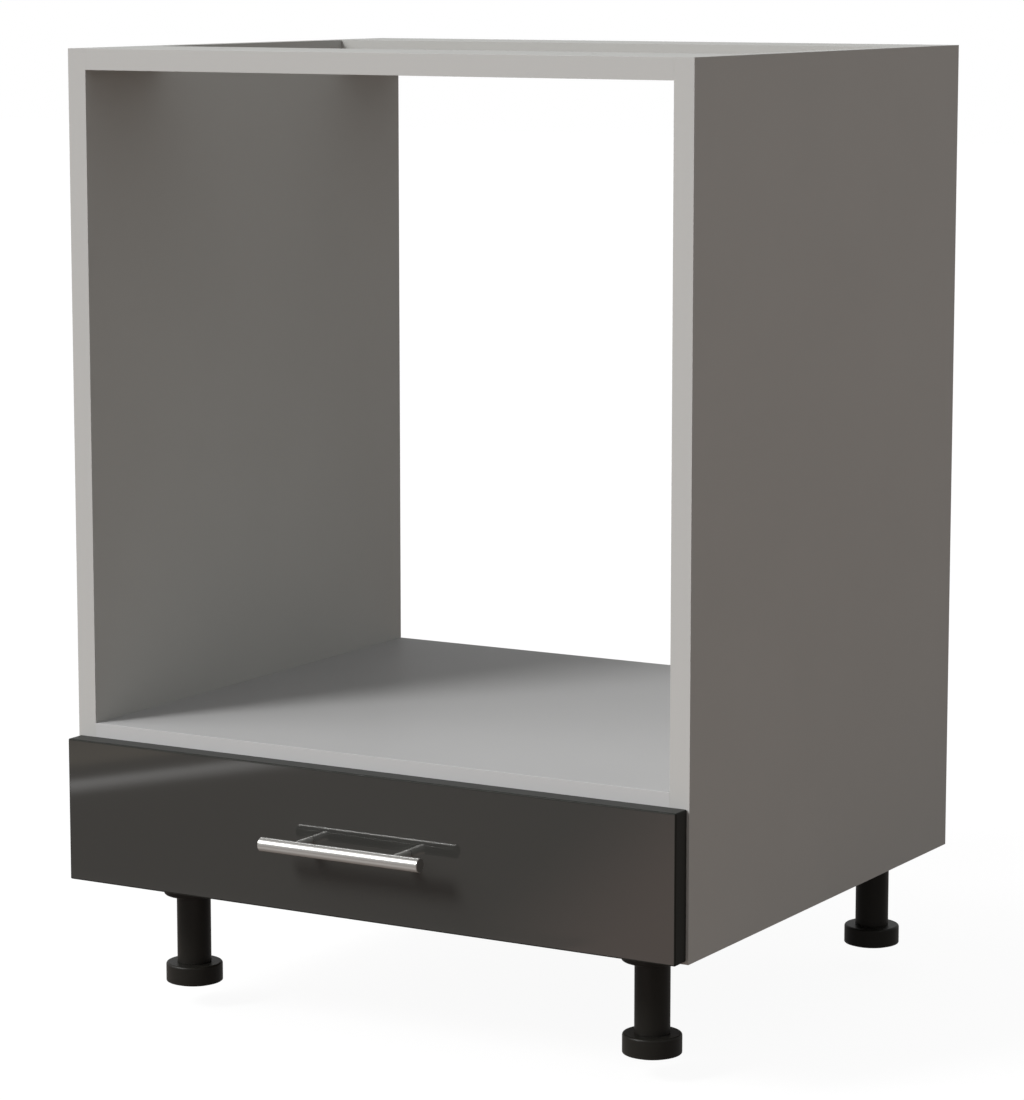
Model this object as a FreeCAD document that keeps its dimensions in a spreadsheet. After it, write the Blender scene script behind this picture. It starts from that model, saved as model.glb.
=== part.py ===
import FreeCAD
import Part
import Sketcher
import math
import os

# Oven housing base cabinet: an open carcass of grey board on four levelling legs, with a drawer
# under the oven deck. +Z is up, the front faces -Y, and the origin is on the floor at the middle
# of the footprint. All sizes are millimetres.

doc = FreeCAD.newDocument("oven_housing_cabinet")
sheet = doc.addObject("Spreadsheet::Sheet", "dims")

SIZES = (
    # Carcass
    ("carcass_width", 600, "over the two sides"),
    ("carcass_height", 720, "sides, without the legs"),
    ("carcass_depth", 500, "front edge to back edge"),
    ("board", 18, "thickness of the carcass board"),
    ("edging", 1, "edge band on the front edges"),
    ("front_rail_width", 110, "front top rail, front to back"),
    ("rear_rail_width", 100, "rear top rail, front to back"),
    ("bay_height", 103, "clear height between base and oven deck"),
    ("worktop_hole", 5, "diameter of the worktop screw holes"),
    ("worktop_hole_spacing", 360, "between the two holes of a rail"),
    # Board joints
    ("dowel_diameter", 8, "wooden dowel"),
    ("dowel_length", 30, "wooden dowel"),
    ("dowel_in_side", 11, "length of the dowel inside the side panel"),
    ("dowel_chamfer", 1, "both ends of the dowel"),
    ("fixing_inset", 60, "cam from the front or back edge of base and deck"),
    ("fixing_pitch", 32, "from a cam to its dowel"),
    ("cam_diameter", 15, "cam disc"),
    ("cam_height", 12.5, "cam disc"),
    ("cam_reach", 24, "cam centre from the board's end"),
    ("bolt_thread", 5, "diameter of the cam bolt's thread"),
    ("bolt_thread_length", 11, "thread inside the side panel"),
    ("bolt_shank", 7, "diameter of the cam bolt's shank"),
    ("bolt_neck", 4, "diameter of the neck under the bolt's head"),
    ("bolt_head_length", 3, "head, and neck under it, each"),
    ("hole_play", 0.05, "radial play of a pin, screw or cam in its hole"),
    ("hole_rest", 1, "depth of a blind hole past its pin"),
    # Legs
    ("leg_height", 100, "floor to carcass"),
    ("leg_side_inset", 70, "leg axis from the outside of the carcass"),
    ("front_leg_setback", 70, "leg axis from the carcass front"),
    ("rear_leg_setback", 5, "leg axis from the carcass back"),
    ("leg_diameter", 30, "leg column"),
    ("leg_wall", 2.5, "leg column"),
    ("socket_diameter", 52, "collar of the leg socket"),
    ("socket_height", 20.5, "leg socket, plate included"),
    ("socket_plate", 4, "thickness of the socket's plate"),
    ("socket_wall", 2.5, "rings and ribs of the collar"),
    ("collar_rounding", 2, "lower rim of the collar"),
    ("socket_reach", 68, "plate from the leg axis towards the middle of the base"),
    ("socket_screw_spacing", 34, "between the two screws of a row"),
    ("socket_screw_near", 36, "first screw row from the leg axis"),
    ("socket_screw_far", 58, "second screw row from the leg axis"),
    ("foot_diameter", 50, "foot disc"),
    ("foot_height", 18, "top of the foot disc above the floor"),
    ("foot_rounding", 4, "upper rim of the foot disc"),
    ("foot_edge", 1, "rounding of the lower rim of the foot disc"),
    ("stem_diameter", 20, "threaded stem of the foot"),
    ("stem_length", 48, "stem above the foot disc"),
    ("nut_length", 24, "thickened lower end of the column that takes the stem"),
    ("foot_stop_gap", 0.2, "column above the foot disc, screwed home"),
    ("pad_diameter", 42, "glide pad under the foot"),
    ("pad_thickness", 3, "glide pad"),
    ("pad_proud", 1, "glide pad below the foot disc"),
    ("pivot_diameter", 8, "stud of the glide pad"),
    ("pivot_height", 8, "stud above the pad"),
    ("running_play", 0.08, "radial play of a turning fit"),
    # Drawer
    ("front_thickness", 18, "drawer front"),
    ("front_gap", 1, "drawer front to carcass"),
    ("front_side_reveal", 2, "drawer front inside the carcass width"),
    ("front_bottom_reveal", 2.5, "drawer front above the carcass bottom"),
    ("front_top_reveal", 12, "drawer front below the deck's top"),
    ("front_rounding", 1.2, "front edges and corners of the drawer front"),
    ("box_board", 16, "thickness of the drawer box board"),
    ("box_gap_below", 12, "drawer box above the base"),
    ("box_gap_above", 11, "drawer box below the deck"),
    ("box_overrun", 2, "drawer box behind the runner"),
    ("bottom_thickness", 3, "drawer bottom"),
    ("groove_depth", 6, "groove for the drawer bottom"),
    ("groove_height", 10, "groove above the lower edge of the box"),
    ("groove_play", 0.2, "drawer bottom in its groove"),
    ("box_screw_low", 18, "lower corner screw above the box's lower edge"),
    ("box_screw_high", 14, "upper corner screw below the box's upper edge"),
    ("front_screw_spacing", 340, "between the left and right front screws"),
    ("front_screw_low", 26, "lower front screw above the box's lower edge"),
    ("front_screw_high", 18, "upper front screw below the box's upper edge"),
    ("bumper_diameter", 8, "clear bumper behind the drawer front"),
    ("bumper_inset", 12, "bumper from the drawer front's top or bottom"),
    ("bumper_play", 0.1, "bumper to the carcass when shut"),
    # Handle
    ("bar_length", 156, "handle bar"),
    ("bar_diameter", 12, "handle bar"),
    ("bar_chamfer", 0.5, "ends of the handle bar"),
    ("handle_centres", 96, "between the two posts"),
    ("handle_standoff", 29, "bar axis in front of the drawer front"),
    ("post_diameter", 8, "handle post"),
    ("spigot_diameter", 5, "spigot of the post in the bar"),
    ("spigot_past_axis", 2, "spigot past the axis of the bar"),
    ("post_thread_depth", 10, "screw inside the post"),
    # Runners
    ("runner_height", 45, "cabinet rail"),
    ("runner_thickness", 12.7, "side panel to drawer box"),
    ("runner_setback", 3, "runner behind the carcass front"),
    ("runner_rear_space", 47, "runner to the carcass back"),
    ("runner_sheet", 1.2, "steel sheet of the rails"),
    ("cabinet_flange", 10, "depth of the cabinet rail"),
    ("middle_offset", 4, "middle rail from the side panel"),
    ("middle_gap", 1.1, "middle rail from the drawer box"),
    ("middle_shortfall", 10, "middle rail shorter than the runner"),
    ("drawer_flange", 6.1, "depth of the drawer rail"),
    ("ball_diameter", 3.5, "runner ball"),
    ("race_depth", 0.5, "ball below the lip of its race"),
    ("race_width", 2.8, "race of a rail"),
    ("race_play", 0.05, "ball to its races"),
    ("outer_race", 6.4, "outer ball row from the side panel"),
    ("inner_race", 3.1, "inner ball row from the drawer box"),
    ("cage_sheet", 0.6, "ball cage"),
    ("cage_gap", 0.4, "web of a ball cage to the middle rail"),
    ("cage_rim", 0.9, "ball cage past its balls"),
    ("cage_play", 0.1, "ball in the hole of its cage"),
    ("cage_front_inset", 105, "ball cage behind the runner's front end"),
    ("cage_rear_inset", 115, "ball cage before the runner's rear end"),
    ("cage_end", 15, "first and last ball from the cage's ends"),
    ("buffer_height", 28, "rear buffer of a runner"),
    ("buffer_gap", 0.3, "rear buffer to the middle rail"),
    ("rail_screw_front", 37, "first rail screw from the runner's front end"),
    ("rail_screw_rear", 93, "last rail screw from the runner's rear end"),
    # Screws
    ("rail_screw_diameter", 3.5, "rail screw"),
    ("rail_screw_length", 13, "rail screw under its head"),
    ("rail_screw_head", 7, "rail screw head"),
    ("rail_screw_head_height", 1.4, "rail screw head"),
    ("wood_screw_diameter", 4, "leg, box and front screws"),
    ("wood_screw_head", 8, "leg, box and front screws"),
    ("wood_screw_head_height", 2.4, "leg, box, front and handle screws"),
    ("leg_screw_length", 16, "leg screw under its head"),
    ("box_screw_length", 45, "box screw with its sunk head"),
    ("front_screw_length", 29, "front screw under its head"),
    ("handle_screw_diameter", 4, "handle screw"),
    ("handle_screw_head", 8, "handle screw head"),
    ("recess_width", 1, "cross recess of screws and cams"),
    ("recess_depth", 1, "cross recess of screws and cams"),
)
for row, (alias, value, meaning) in enumerate(SIZES, start=1):
    sheet.set(f"A{row}", meaning)
    sheet.set(f"B{row}", str(value))
    sheet.setAlias(f"B{row}", alias)
doc.recompute()

# Planes and centre lines that several pieces share, as expressions on the sheet
REACH_FORWARD = "(dims.front_gap + dims.front_thickness + dims.handle_standoff + dims.bar_diameter / 2)"
REACH_BACK = "(dims.carcass_depth - dims.rear_leg_setback + dims.socket_diameter / 2)"
FRONT = f"(({REACH_FORWARD} - {REACH_BACK}) / 2)"
BACK = f"({FRONT} + dims.carcass_depth)"
INSIDE = "(dims.carcass_width / 2 - dims.board)"
BOTTOM = "dims.leg_height"
TOP = "(dims.leg_height + dims.carcass_height)"
BAY_FLOOR = f"({BOTTOM} + dims.board)"
DECK_TOP = f"({BAY_FLOOR} + dims.bay_height + dims.board)"
BOX_BOTTOM = f"({BAY_FLOOR} + dims.box_gap_below)"
BOX_TOP = f"({BAY_FLOOR} + dims.bay_height - dims.box_gap_above)"
BOX_SIDE = f"({INSIDE} - dims.runner_thickness)"
FRONT_FACE = f"({FRONT} - dims.front_gap - dims.front_thickness)"
FRONT_LOW = f"({BOTTOM} + dims.front_bottom_reveal)"
FRONT_HIGH = f"({DECK_TOP} - dims.front_top_reveal)"
FRONT_MIDDLE = f"(({FRONT_LOW} + {FRONT_HIGH}) / 2)"
BOX_FRONT = f"({FRONT} - dims.front_gap)"
RUNNER_FRONT = f"({FRONT} + dims.runner_setback)"
RUNNER_LENGTH = "(dims.carcass_depth - dims.runner_setback - dims.runner_rear_space)"
RUNNER_LOW = f"(({BOX_BOTTOM} + {BOX_TOP}) / 2 - dims.runner_height / 2)"
BOX_BACK = f"({RUNNER_FRONT} + {RUNNER_LENGTH} + dims.box_overrun)"

DIRECTIONS = {
    "+X": FreeCAD.Vector(1, 0, 0),
    "-X": FreeCAD.Vector(-1, 0, 0),
    "+Y": FreeCAD.Vector(0, 1, 0),
    "-Y": FreeCAD.Vector(0, -1, 0),
    "+Z": FreeCAD.Vector(0, 0, 1),
    "-Z": FreeCAD.Vector(0, 0, -1),
}
pieces = []


def keep(piece, label):
    """Give a finished sub-part the name of its file."""
    piece.Label = label
    pieces.append(piece)
    return piece


def place(item, position, direction="+Z"):
    """Set an object at a position given as three expressions, its own Z axis turned to direction."""
    turn = FreeCAD.Rotation(DIRECTIONS["+Z"], DIRECTIONS[direction])
    item.Placement = FreeCAD.Placement(FreeCAD.Vector(), turn)
    for axis, value in zip("xyz", position):
        item.setExpression(f"Placement.Base.{axis}", value)
    return item


def block(name, corner, size):
    """A box from its lowest corner and its sizes along X, Y and Z."""
    box = doc.addObject("Part::Box", name)
    for side, value in zip(("Length", "Width", "Height"), size):
        box.setExpression(side, value)
    return place(box, corner)


def rod(name, start, direction, diameter, length):
    """A round bar or drill that starts at a point and runs in a direction."""
    cylinder = doc.addObject("Part::Cylinder", name)
    cylinder.setExpression("Radius", f"({diameter}) / 2")
    cylinder.setExpression("Height", length)
    return place(cylinder, start, direction)


def fuse(name, shapes):
    union = doc.addObject("Part::MultiFuse", name)
    union.Shapes = shapes
    return union


def cut(name, base, tools):
    difference = doc.addObject("Part::Cut", name)
    difference.Base = base
    difference.Tool = tools[0] if len(tools) == 1 else fuse(f"{name}_tools", tools)
    return difference


def group(name, solids):
    """Like pieces that share one node, each a solid of its own."""
    compound = doc.addObject("Part::Compound", name)
    compound.Links = solids
    return compound


def copy_of(original, name, position, direction="+Z"):
    link = doc.addObject("App::Link", name)
    link.LinkedObject = original
    return place(link, position, direction)


def mirrored(source, label):
    """The right-hand twin of a left-hand piece."""
    twin = doc.addObject("Part::Mirroring", label)
    twin.Source = source
    twin.Normal = DIRECTIONS["+X"]
    return keep(twin, label)


def outline(body, name, corners):
    """A closed sketch of straight lines on the body's XZ plane, each corner a pair of expressions.

    The corners start on a small circle clear of both axes, and the constraints then draw them out.
    """
    plane = next(item for item in body.Origin.OriginFeatures if item.Role == "XZ_Plane")
    sketch = body.newObject("Sketcher::SketchObject", name)
    sketch.AttachmentSupport = (plane, [""])
    sketch.MapMode = "FlatFace"
    count = len(corners)
    angles = [2 * math.pi * index / count for index in range(count)]
    centre = FreeCAD.Vector(2, 2, 0)
    starts = [centre + FreeCAD.Vector(math.cos(angle), math.sin(angle), 0) for angle in angles]
    for index in range(count):
        sketch.addGeometry(Part.LineSegment(starts[index], starts[(index + 1) % count]))
    for index in range(count):
        sketch.addConstraint(Sketcher.Constraint("Coincident", index, 2, (index + 1) % count, 1))
    for index, (across, upward) in enumerate(corners):
        start = starts[index]
        wishes = (("DistanceX", -2, across, start.x), ("DistanceY", -1, upward, start.y))
        for kind, axis, value, now in wishes:
            if value == "0":
                sketch.addConstraint(Sketcher.Constraint("PointOnObject", index, 1, axis))
            else:
                number = sketch.addConstraint(Sketcher.Constraint(kind, -1, 1, index, 1, now))
                sketch.setExpression(f"Constraints[{number}]", value)
    return sketch


def turned(name, corners):
    """A turned piece: half its section, as radius and height, spun about the Z axis."""
    body = doc.addObject("PartDesign::Body", name)
    sketch = outline(body, f"{name}_section", corners)
    spin = body.newObject("PartDesign::Revolution", f"{name}_spin")
    spin.Profile = sketch
    spin.ReferenceAxis = (sketch, ["V_Axis"])
    spin.Angle = 360
    return body


def extruded(name, corners, length):
    """A piece of one section, drawn from the front and run backwards along +Y."""
    body = doc.addObject("PartDesign::Body", name)
    sketch = outline(body, f"{name}_section", corners)
    pad = body.newObject("PartDesign::Pad", f"{name}_pad")
    pad.Profile = sketch
    pad.Reversed = True
    pad.setExpression("Length", length)
    return body


def soften(body, radius, pick):
    """Round the edges that pick chooses among those of a body's last feature."""
    doc.recompute()
    last = body.Tip
    edges = last.Shape.Edges
    chosen = pick(edges)
    fillet = body.newObject("PartDesign::Fillet", f"{body.Name}_fillet")
    fillet.Base = (last, [
        f"Edge{number}" for number, edge in enumerate(edges, start=1)
        if any(edge.isSame(other) for other in chosen)])
    fillet.setExpression("Radius", radius)
    return body


def outer_rims(edges):
    """The widest round edges of a turned piece, from the lowest to the highest."""
    rims = [edge for edge in edges if isinstance(edge.Curve, Part.Circle)]
    widest = max(rim.Curve.Radius for rim in rims)
    outer = [rim for rim in rims if math.isclose(rim.Curve.Radius, widest)]
    return sorted(outer, key=lambda rim: rim.CenterOfMass.z)


def lowest_rim(edges):
    return outer_rims(edges)[:1]


def highest_rim(edges):
    return outer_rims(edges)[-1:]


def cross_recess(name, height, reach):
    """The driver's cross: two thin crossed blocks that rise from the given height."""
    half = f"({reach}) / 2"
    thin = "dims.recess_width / 2"
    width = "dims.recess_width"
    depth = "dims.recess_depth"
    bar = block(f"{name}_bar", (f"-{half}", f"-{thin}", height), (reach, width, depth))
    cross = block(f"{name}_cross", (f"-{thin}", f"-{half}", height), (width, reach, depth))
    return fuse(f"{name}_recess", [bar, cross])


def pan_screw(name, diameter, length, head, head_height):
    """A round-headed screw: head below Z 0, shank above it, point at the top."""
    radius = f"{diameter} / 2"
    point = f"{head_height} + {length} - {diameter}"
    body = turned(name, (
        ("0", "0"),
        (f"{head} / 2 - {head_height} / 2", "0"),
        (f"{head} / 2", f"{head_height} / 2"),
        (f"{head} / 2", head_height),
        (radius, head_height),
        (radius, point),
        (f"{diameter} / 4", f"{head_height} + {length}"),
        ("0", f"{head_height} + {length}"),
    ))
    return cut(f"{name}_crossed", body, [cross_recess(name, "0", f"{head} / 2")])


def sunk_screw(name, diameter, length, head):
    """A countersunk screw: flat head at Z 0, shank above it, point at the top."""
    body = turned(name, (
        ("0", "0"),
        (f"{head} / 2", "0"),
        (f"{diameter} / 2", f"{head} / 2 - {diameter} / 2"),
        (f"{diameter} / 2", f"{length} - {diameter}"),
        (f"{diameter} / 4", length),
        ("0", length),
    ))
    return cut(f"{name}_crossed", body, [cross_recess(name, "0", f"{head} / 2")])


def pilot(name, start, direction, diameter, depth):
    """The hole that a pin or screw of a diameter sits in."""
    return rod(name, start, direction, f"{diameter} + 2 * dims.hole_play", depth)


# Board joints: where each crossing board meets the sides, as the board's name, the height of its
# middle plane, and the places of its cams and dowels from front to back
DOWEL_STEP = "dims.fixing_pitch"
RAIL_OFFSET = "dims.fixing_pitch / 2"
FRONT_RAIL_MIDDLE = f"({FRONT} + dims.front_rail_width / 2)"
REAR_RAIL_MIDDLE = f"({BACK} - dims.rear_rail_width / 2)"
DEEP_CAMS = (f"{FRONT} + dims.fixing_inset", f"{BACK} - dims.fixing_inset")
DEEP_DOWELS = (f"{DEEP_CAMS[0]} + {DOWEL_STEP}", f"{DEEP_CAMS[1]} - {DOWEL_STEP}")
BOARD_JOINTS = {
    "base": (f"{BOTTOM} + dims.board / 2", DEEP_CAMS, DEEP_DOWELS),
    "deck": (f"{DECK_TOP} - dims.board / 2", DEEP_CAMS, DEEP_DOWELS),
    "front_rail": (
        f"{TOP} - dims.board / 2",
        (f"{FRONT_RAIL_MIDDLE} - {RAIL_OFFSET}",),
        (f"{FRONT_RAIL_MIDDLE} + {RAIL_OFFSET}",),
    ),
    "rear_rail": (
        f"{TOP} - dims.board / 2",
        (f"{REAR_RAIL_MIDDLE} - {RAIL_OFFSET}",),
        (f"{REAR_RAIL_MIDDLE} + {RAIL_OFFSET}",),
    ),
}
HANDS = (("left", f"-{INSIDE}", "+X"), ("right", INSIDE, "-X"))
DOWEL_IN_BOARD = "dims.dowel_length - dims.dowel_in_side"
RAIL_SCREW_STEPS = (
    "dims.rail_screw_front",
    f"(dims.rail_screw_front + {RUNNER_LENGTH} - dims.rail_screw_rear) / 2",
    f"{RUNNER_LENGTH} - dims.rail_screw_rear",
)
RAIL_SCREW_HEIGHT = f"{RUNNER_LOW} + dims.runner_height / 2"


# Side panels: drilled from inside for dowels, cam bolts and rail screws
side_drills = []
for board, (height, cams, dowels) in BOARD_JOINTS.items():
    for number, depth in enumerate(cams):
        side_drills.append(pilot(
            f"{board}_bolt_hole_{number}", (f"-{INSIDE}", depth, height), "-X",
            "dims.bolt_thread", "dims.bolt_thread_length + dims.hole_rest"))
    for number, depth in enumerate(dowels):
        side_drills.append(pilot(
            f"{board}_dowel_hole_{number}", (f"-{INSIDE}", depth, height), "-X",
            "dims.dowel_diameter", "dims.dowel_in_side + dims.hole_rest"))
for number, step in enumerate(RAIL_SCREW_STEPS):
    side_drills.append(pilot(
        f"rail_screw_hole_{number}", (f"-{INSIDE}", f"{RUNNER_FRONT} + {step}", RAIL_SCREW_HEIGHT), "-X",
        "dims.rail_screw_diameter", "dims.rail_screw_length - dims.runner_sheet + dims.hole_rest"))
side_board = block(
    "side_board",
    ("-dims.carcass_width / 2", f"{FRONT} + dims.edging", BOTTOM),
    ("dims.board", "dims.carcass_depth - dims.edging", "dims.carcass_height"))
left_side = keep(cut("left_side", side_board, side_drills), "side_panel_left")
mirrored(left_side, "side_panel_right")


# Crossing boards: each is drilled at both ends for bolts and dowels, with cam seats from below
def end_drills(board):
    height, cams, dowels = BOARD_JOINTS[board]
    drills = []
    for hand, end, inward in HANDS:
        towards_middle = "+" if hand == "left" else "-"
        for number, depth in enumerate(cams):
            drills.append(pilot(
                f"{board}_{hand}_bolt_bore_{number}", (end, depth, height), inward,
                "dims.bolt_shank", "dims.cam_reach"))
            drills.append(pilot(
                f"{board}_{hand}_cam_seat_{number}",
                (f"{end} {towards_middle} dims.cam_reach", depth, f"{height} - dims.board / 2"), "+Z",
                "dims.cam_diameter", "dims.cam_height"))
        for number, depth in enumerate(dowels):
            drills.append(pilot(
                f"{board}_{hand}_dowel_bore_{number}", (end, depth, height), inward,
                "dims.dowel_diameter", f"{DOWEL_IN_BOARD} + dims.hole_rest"))
    return drills


def crossing_board(board, label, front, depth, more_drills):
    underside = f"{BOARD_JOINTS[board][0]} - dims.board / 2"
    plank = block(
        f"{board}_plank", (f"-{INSIDE}", front, underside), (f"2 * {INSIDE}", depth, "dims.board"))
    return keep(cut(board, plank, end_drills(board) + more_drills), label)


# Legs stand near the corners; the sign says which way the middle of the base lies
LEG_ACROSS = "(dims.carcass_width / 2 - dims.leg_side_inset)"
FRONT_LEGS = f"({FRONT} + dims.front_leg_setback)"
REAR_LEGS = f"({BACK} - dims.rear_leg_setback)"
LEGS = (
    ("front_left", f"-{LEG_ACROSS}", FRONT_LEGS, "+"),
    ("front_right", LEG_ACROSS, FRONT_LEGS, "+"),
    ("rear_left", f"-{LEG_ACROSS}", REAR_LEGS, "-"),
    ("rear_right", LEG_ACROSS, REAR_LEGS, "-"),
)


def socket_screw_places(leg):
    """The four screws of a leg socket, two rows of two towards the middle of the base."""
    across, depth, towards_middle = leg[1:]
    return [
        (f"{across} {side} dims.socket_screw_spacing / 2", f"{depth} {towards_middle} {row}")
        for side in "-+"
        for row in ("dims.socket_screw_near", "dims.socket_screw_far")
    ]


leg_pilots = []
for leg in LEGS:
    for number, (across, depth) in enumerate(socket_screw_places(leg)):
        leg_pilots.append(pilot(
            f"{leg[0]}_leg_pilot_{number}", (across, depth, BOTTOM), "+Z",
            "dims.wood_screw_diameter", "dims.leg_screw_length - dims.socket_plate + dims.hole_rest"))
BANDED_DEPTH = "dims.carcass_depth - dims.edging"
crossing_board("base", "base_panel", f"{FRONT} + dims.edging", BANDED_DEPTH, leg_pilots)
crossing_board("deck", "oven_deck", f"{FRONT} + dims.edging", BANDED_DEPTH, [])


def worktop_holes(rail, depth):
    underside = f"{TOP} - dims.board"
    half_spacing = "dims.worktop_hole_spacing / 2"
    return [
        rod(f"{rail}_worktop_hole_{number}", (f"{side}{half_spacing}", depth, underside), "+Z",
            "dims.worktop_hole", "dims.board")
        for number, side in enumerate(("-", ""))
    ]


crossing_board(
    "front_rail", "top_rail_front", f"{FRONT} + dims.edging", "dims.front_rail_width - dims.edging",
    worktop_holes("front_rail", FRONT_RAIL_MIDDLE))
crossing_board(
    "rear_rail", "top_rail_rear", f"{BACK} - dims.rear_rail_width", "dims.rear_rail_width",
    worktop_holes("rear_rail", REAR_RAIL_MIDDLE))


# Edge banding: a strip glued on the front edge of each board
SIDE_BAND = ("dims.board", "dims.edging", "dims.carcass_height")
CROSS_BAND = (f"2 * {INSIDE}", "dims.edging", "dims.board")
bands = [
    block("side_band_left", ("-dims.carcass_width / 2", FRONT, BOTTOM), SIDE_BAND),
    block("side_band_right", (INSIDE, FRONT, BOTTOM), SIDE_BAND),
]
for board in ("base", "deck", "front_rail"):
    low = f"{BOARD_JOINTS[board][0]} - dims.board / 2"
    bands.append(block(f"{board}_band", (f"-{INSIDE}", FRONT, low), CROSS_BAND))
keep(group("edge_bands", bands), "front_edge_bands")


# Dowels, cam bolts and cams of the board joints
dowel = turned("dowel", (
    ("0", "0"),
    ("dims.dowel_diameter / 2 - dims.dowel_chamfer", "0"),
    ("dims.dowel_diameter / 2", "dims.dowel_chamfer"),
    ("dims.dowel_diameter / 2", "dims.dowel_length - dims.dowel_chamfer"),
    ("dims.dowel_diameter / 2 - dims.dowel_chamfer", "dims.dowel_length"),
    ("0", "dims.dowel_length"),
))
BOLT_NECK_START = "(dims.bolt_thread_length + dims.cam_reach - dims.bolt_head_length * 3 / 2)"
BOLT_LENGTH = f"({BOLT_NECK_START} + 2 * dims.bolt_head_length)"
cam_bolt = turned("cam_bolt", (
    ("0", "0"),
    ("dims.bolt_thread / 2", "0"),
    ("dims.bolt_thread / 2", "dims.bolt_thread_length"),
    ("dims.bolt_shank / 2", "dims.bolt_thread_length"),
    ("dims.bolt_shank / 2", BOLT_NECK_START),
    ("dims.bolt_neck / 2", BOLT_NECK_START),
    ("dims.bolt_neck / 2", f"{BOLT_NECK_START} + dims.bolt_head_length"),
    ("dims.bolt_shank / 2", f"{BOLT_NECK_START} + dims.bolt_head_length"),
    ("dims.bolt_shank / 2", BOLT_LENGTH),
    ("0", BOLT_LENGTH),
))
cam_drum = rod("cam_drum", ("0", "0", "0"), "+Z", "dims.cam_diameter", "dims.cam_height")
BOLT_PAST_CAM = f"({BOLT_LENGTH} - dims.bolt_thread_length - dims.cam_reach)"
cam_mouth = pilot(
    "cam_mouth", ("-dims.cam_diameter / 2", "0", "dims.board / 2"), "+X",
    "dims.bolt_shank", f"dims.cam_diameter / 2 + {BOLT_PAST_CAM} + dims.hole_rest")
cam_disc = cut("cam_disc", cam_drum, [cam_mouth, cross_recess("cam", "0", "dims.cam_diameter / 2")])
cam_disc_right = doc.addObject("Part::Mirroring", "cam_disc_right")
cam_disc_right.Source = cam_disc
cam_disc_right.Normal = DIRECTIONS["+X"]

dowels_all = []
bolts_all = []
cams_all = []
for board, (height, cams, dowels) in BOARD_JOINTS.items():
    for hand, end, inward in HANDS:
        into_side, into_board = ("-", "+") if hand == "left" else ("+", "-")
        for number, depth in enumerate(dowels):
            dowels_all.append(copy_of(
                dowel, f"{board}_{hand}_dowel_{number}",
                (f"{end} {into_side} dims.dowel_in_side", depth, height), inward))
        for number, depth in enumerate(cams):
            bolts_all.append(copy_of(
                cam_bolt, f"{board}_{hand}_bolt_{number}",
                (f"{end} {into_side} dims.bolt_thread_length", depth, height), inward))
            cams_all.append(copy_of(
                cam_disc if hand == "left" else cam_disc_right, f"{board}_{hand}_cam_{number}",
                (f"{end} {into_board} dims.cam_reach", depth, f"{height} - dims.board / 2")))
keep(group("dowels", dowels_all), "joint_dowels")
keep(group("bolts", bolts_all), "cam_bolts")
keep(group("cams", cams_all), "cam_discs")


# Legs: a moulded socket screwed under the base, a column plugged into it, and a foot whose stem
# screws into the thickened lower end of the column; the glide pad turns on a stud under the foot
SOCKET_LOW = f"({BOTTOM} - dims.socket_height)"
COLUMN_LOW = "(dims.foot_height + dims.foot_stop_gap)"
COLUMN_HIGH = f"({BOTTOM} - dims.socket_plate)"
COLUMN_LENGTH = f"({COLUMN_HIGH} - {COLUMN_LOW})"
COLUMN_BORE = "(dims.leg_diameter / 2 - dims.leg_wall)"
NUT_BORE = "(dims.stem_diameter / 2 + dims.running_play)"
PAD_RECESS = "(dims.pad_thickness - dims.pad_proud)"
PAD_RADIUS = "(dims.pad_diameter / 2 + dims.running_play)"
STUD_RADIUS = "(dims.pivot_diameter / 2 + dims.running_play)"
STUD_HOLE = f"({PAD_RECESS} + dims.pivot_height + dims.foot_stop_gap)"
SOCKET_BORE = "(dims.leg_diameter + 2 * dims.hole_play)"
RING_INSIDE = f"({SOCKET_BORE} + 2 * dims.socket_wall)"
RING_OUTSIDE = "(dims.socket_diameter - 2 * dims.socket_wall)"
HOLLOW_HEIGHT = "(dims.socket_height - dims.socket_plate)"
RIB_TURNS = (0, 60, 120)

collar = turned("collar", (
    ("0", "0"),
    ("dims.socket_diameter / 2", "0"),
    ("dims.socket_diameter / 2", "dims.socket_height"),
    ("0", "dims.socket_height"),
))
soften(collar, "dims.collar_rounding", lowest_rim)
flange = block(
    "flange", ("-dims.socket_diameter / 2", "0", HOLLOW_HEIGHT),
    ("dims.socket_diameter", "dims.socket_reach", "dims.socket_plate"))
hollow = rod("hollow", ("0", "0", "0"), "+Z", RING_OUTSIDE, HOLLOW_HEIGHT)
inner_ring = rod("inner_ring", ("0", "0", "0"), "+Z", RING_INSIDE, HOLLOW_HEIGHT)
ribs = []
for turn in RIB_TURNS:
    rib = block(
        f"rib_{turn}", ("0", "0", "0"), ("dims.socket_diameter", "dims.socket_wall", HOLLOW_HEIGHT))
    rib.Placement = FreeCAD.Placement(FreeCAD.Vector(), FreeCAD.Rotation(DIRECTIONS["+Z"], turn))
    half_length = "dims.socket_diameter / 2"
    half_rib = "dims.socket_wall / 2"
    cosine = f"cos({turn} deg)"
    sine = f"sin({turn} deg)"
    rib.setExpression("Placement.Base.x", f"-{half_length} * {cosine} + {half_rib} * {sine}")
    rib.setExpression("Placement.Base.y", f"-{half_length} * {sine} - {half_rib} * {cosine}")
    ribs.append(rib)
pockets = cut("collar_pockets", hollow, [inner_ring] + ribs)
plug_bore = rod("plug_bore", ("0", "0", "0"), "+Z", SOCKET_BORE, HOLLOW_HEIGHT)
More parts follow.
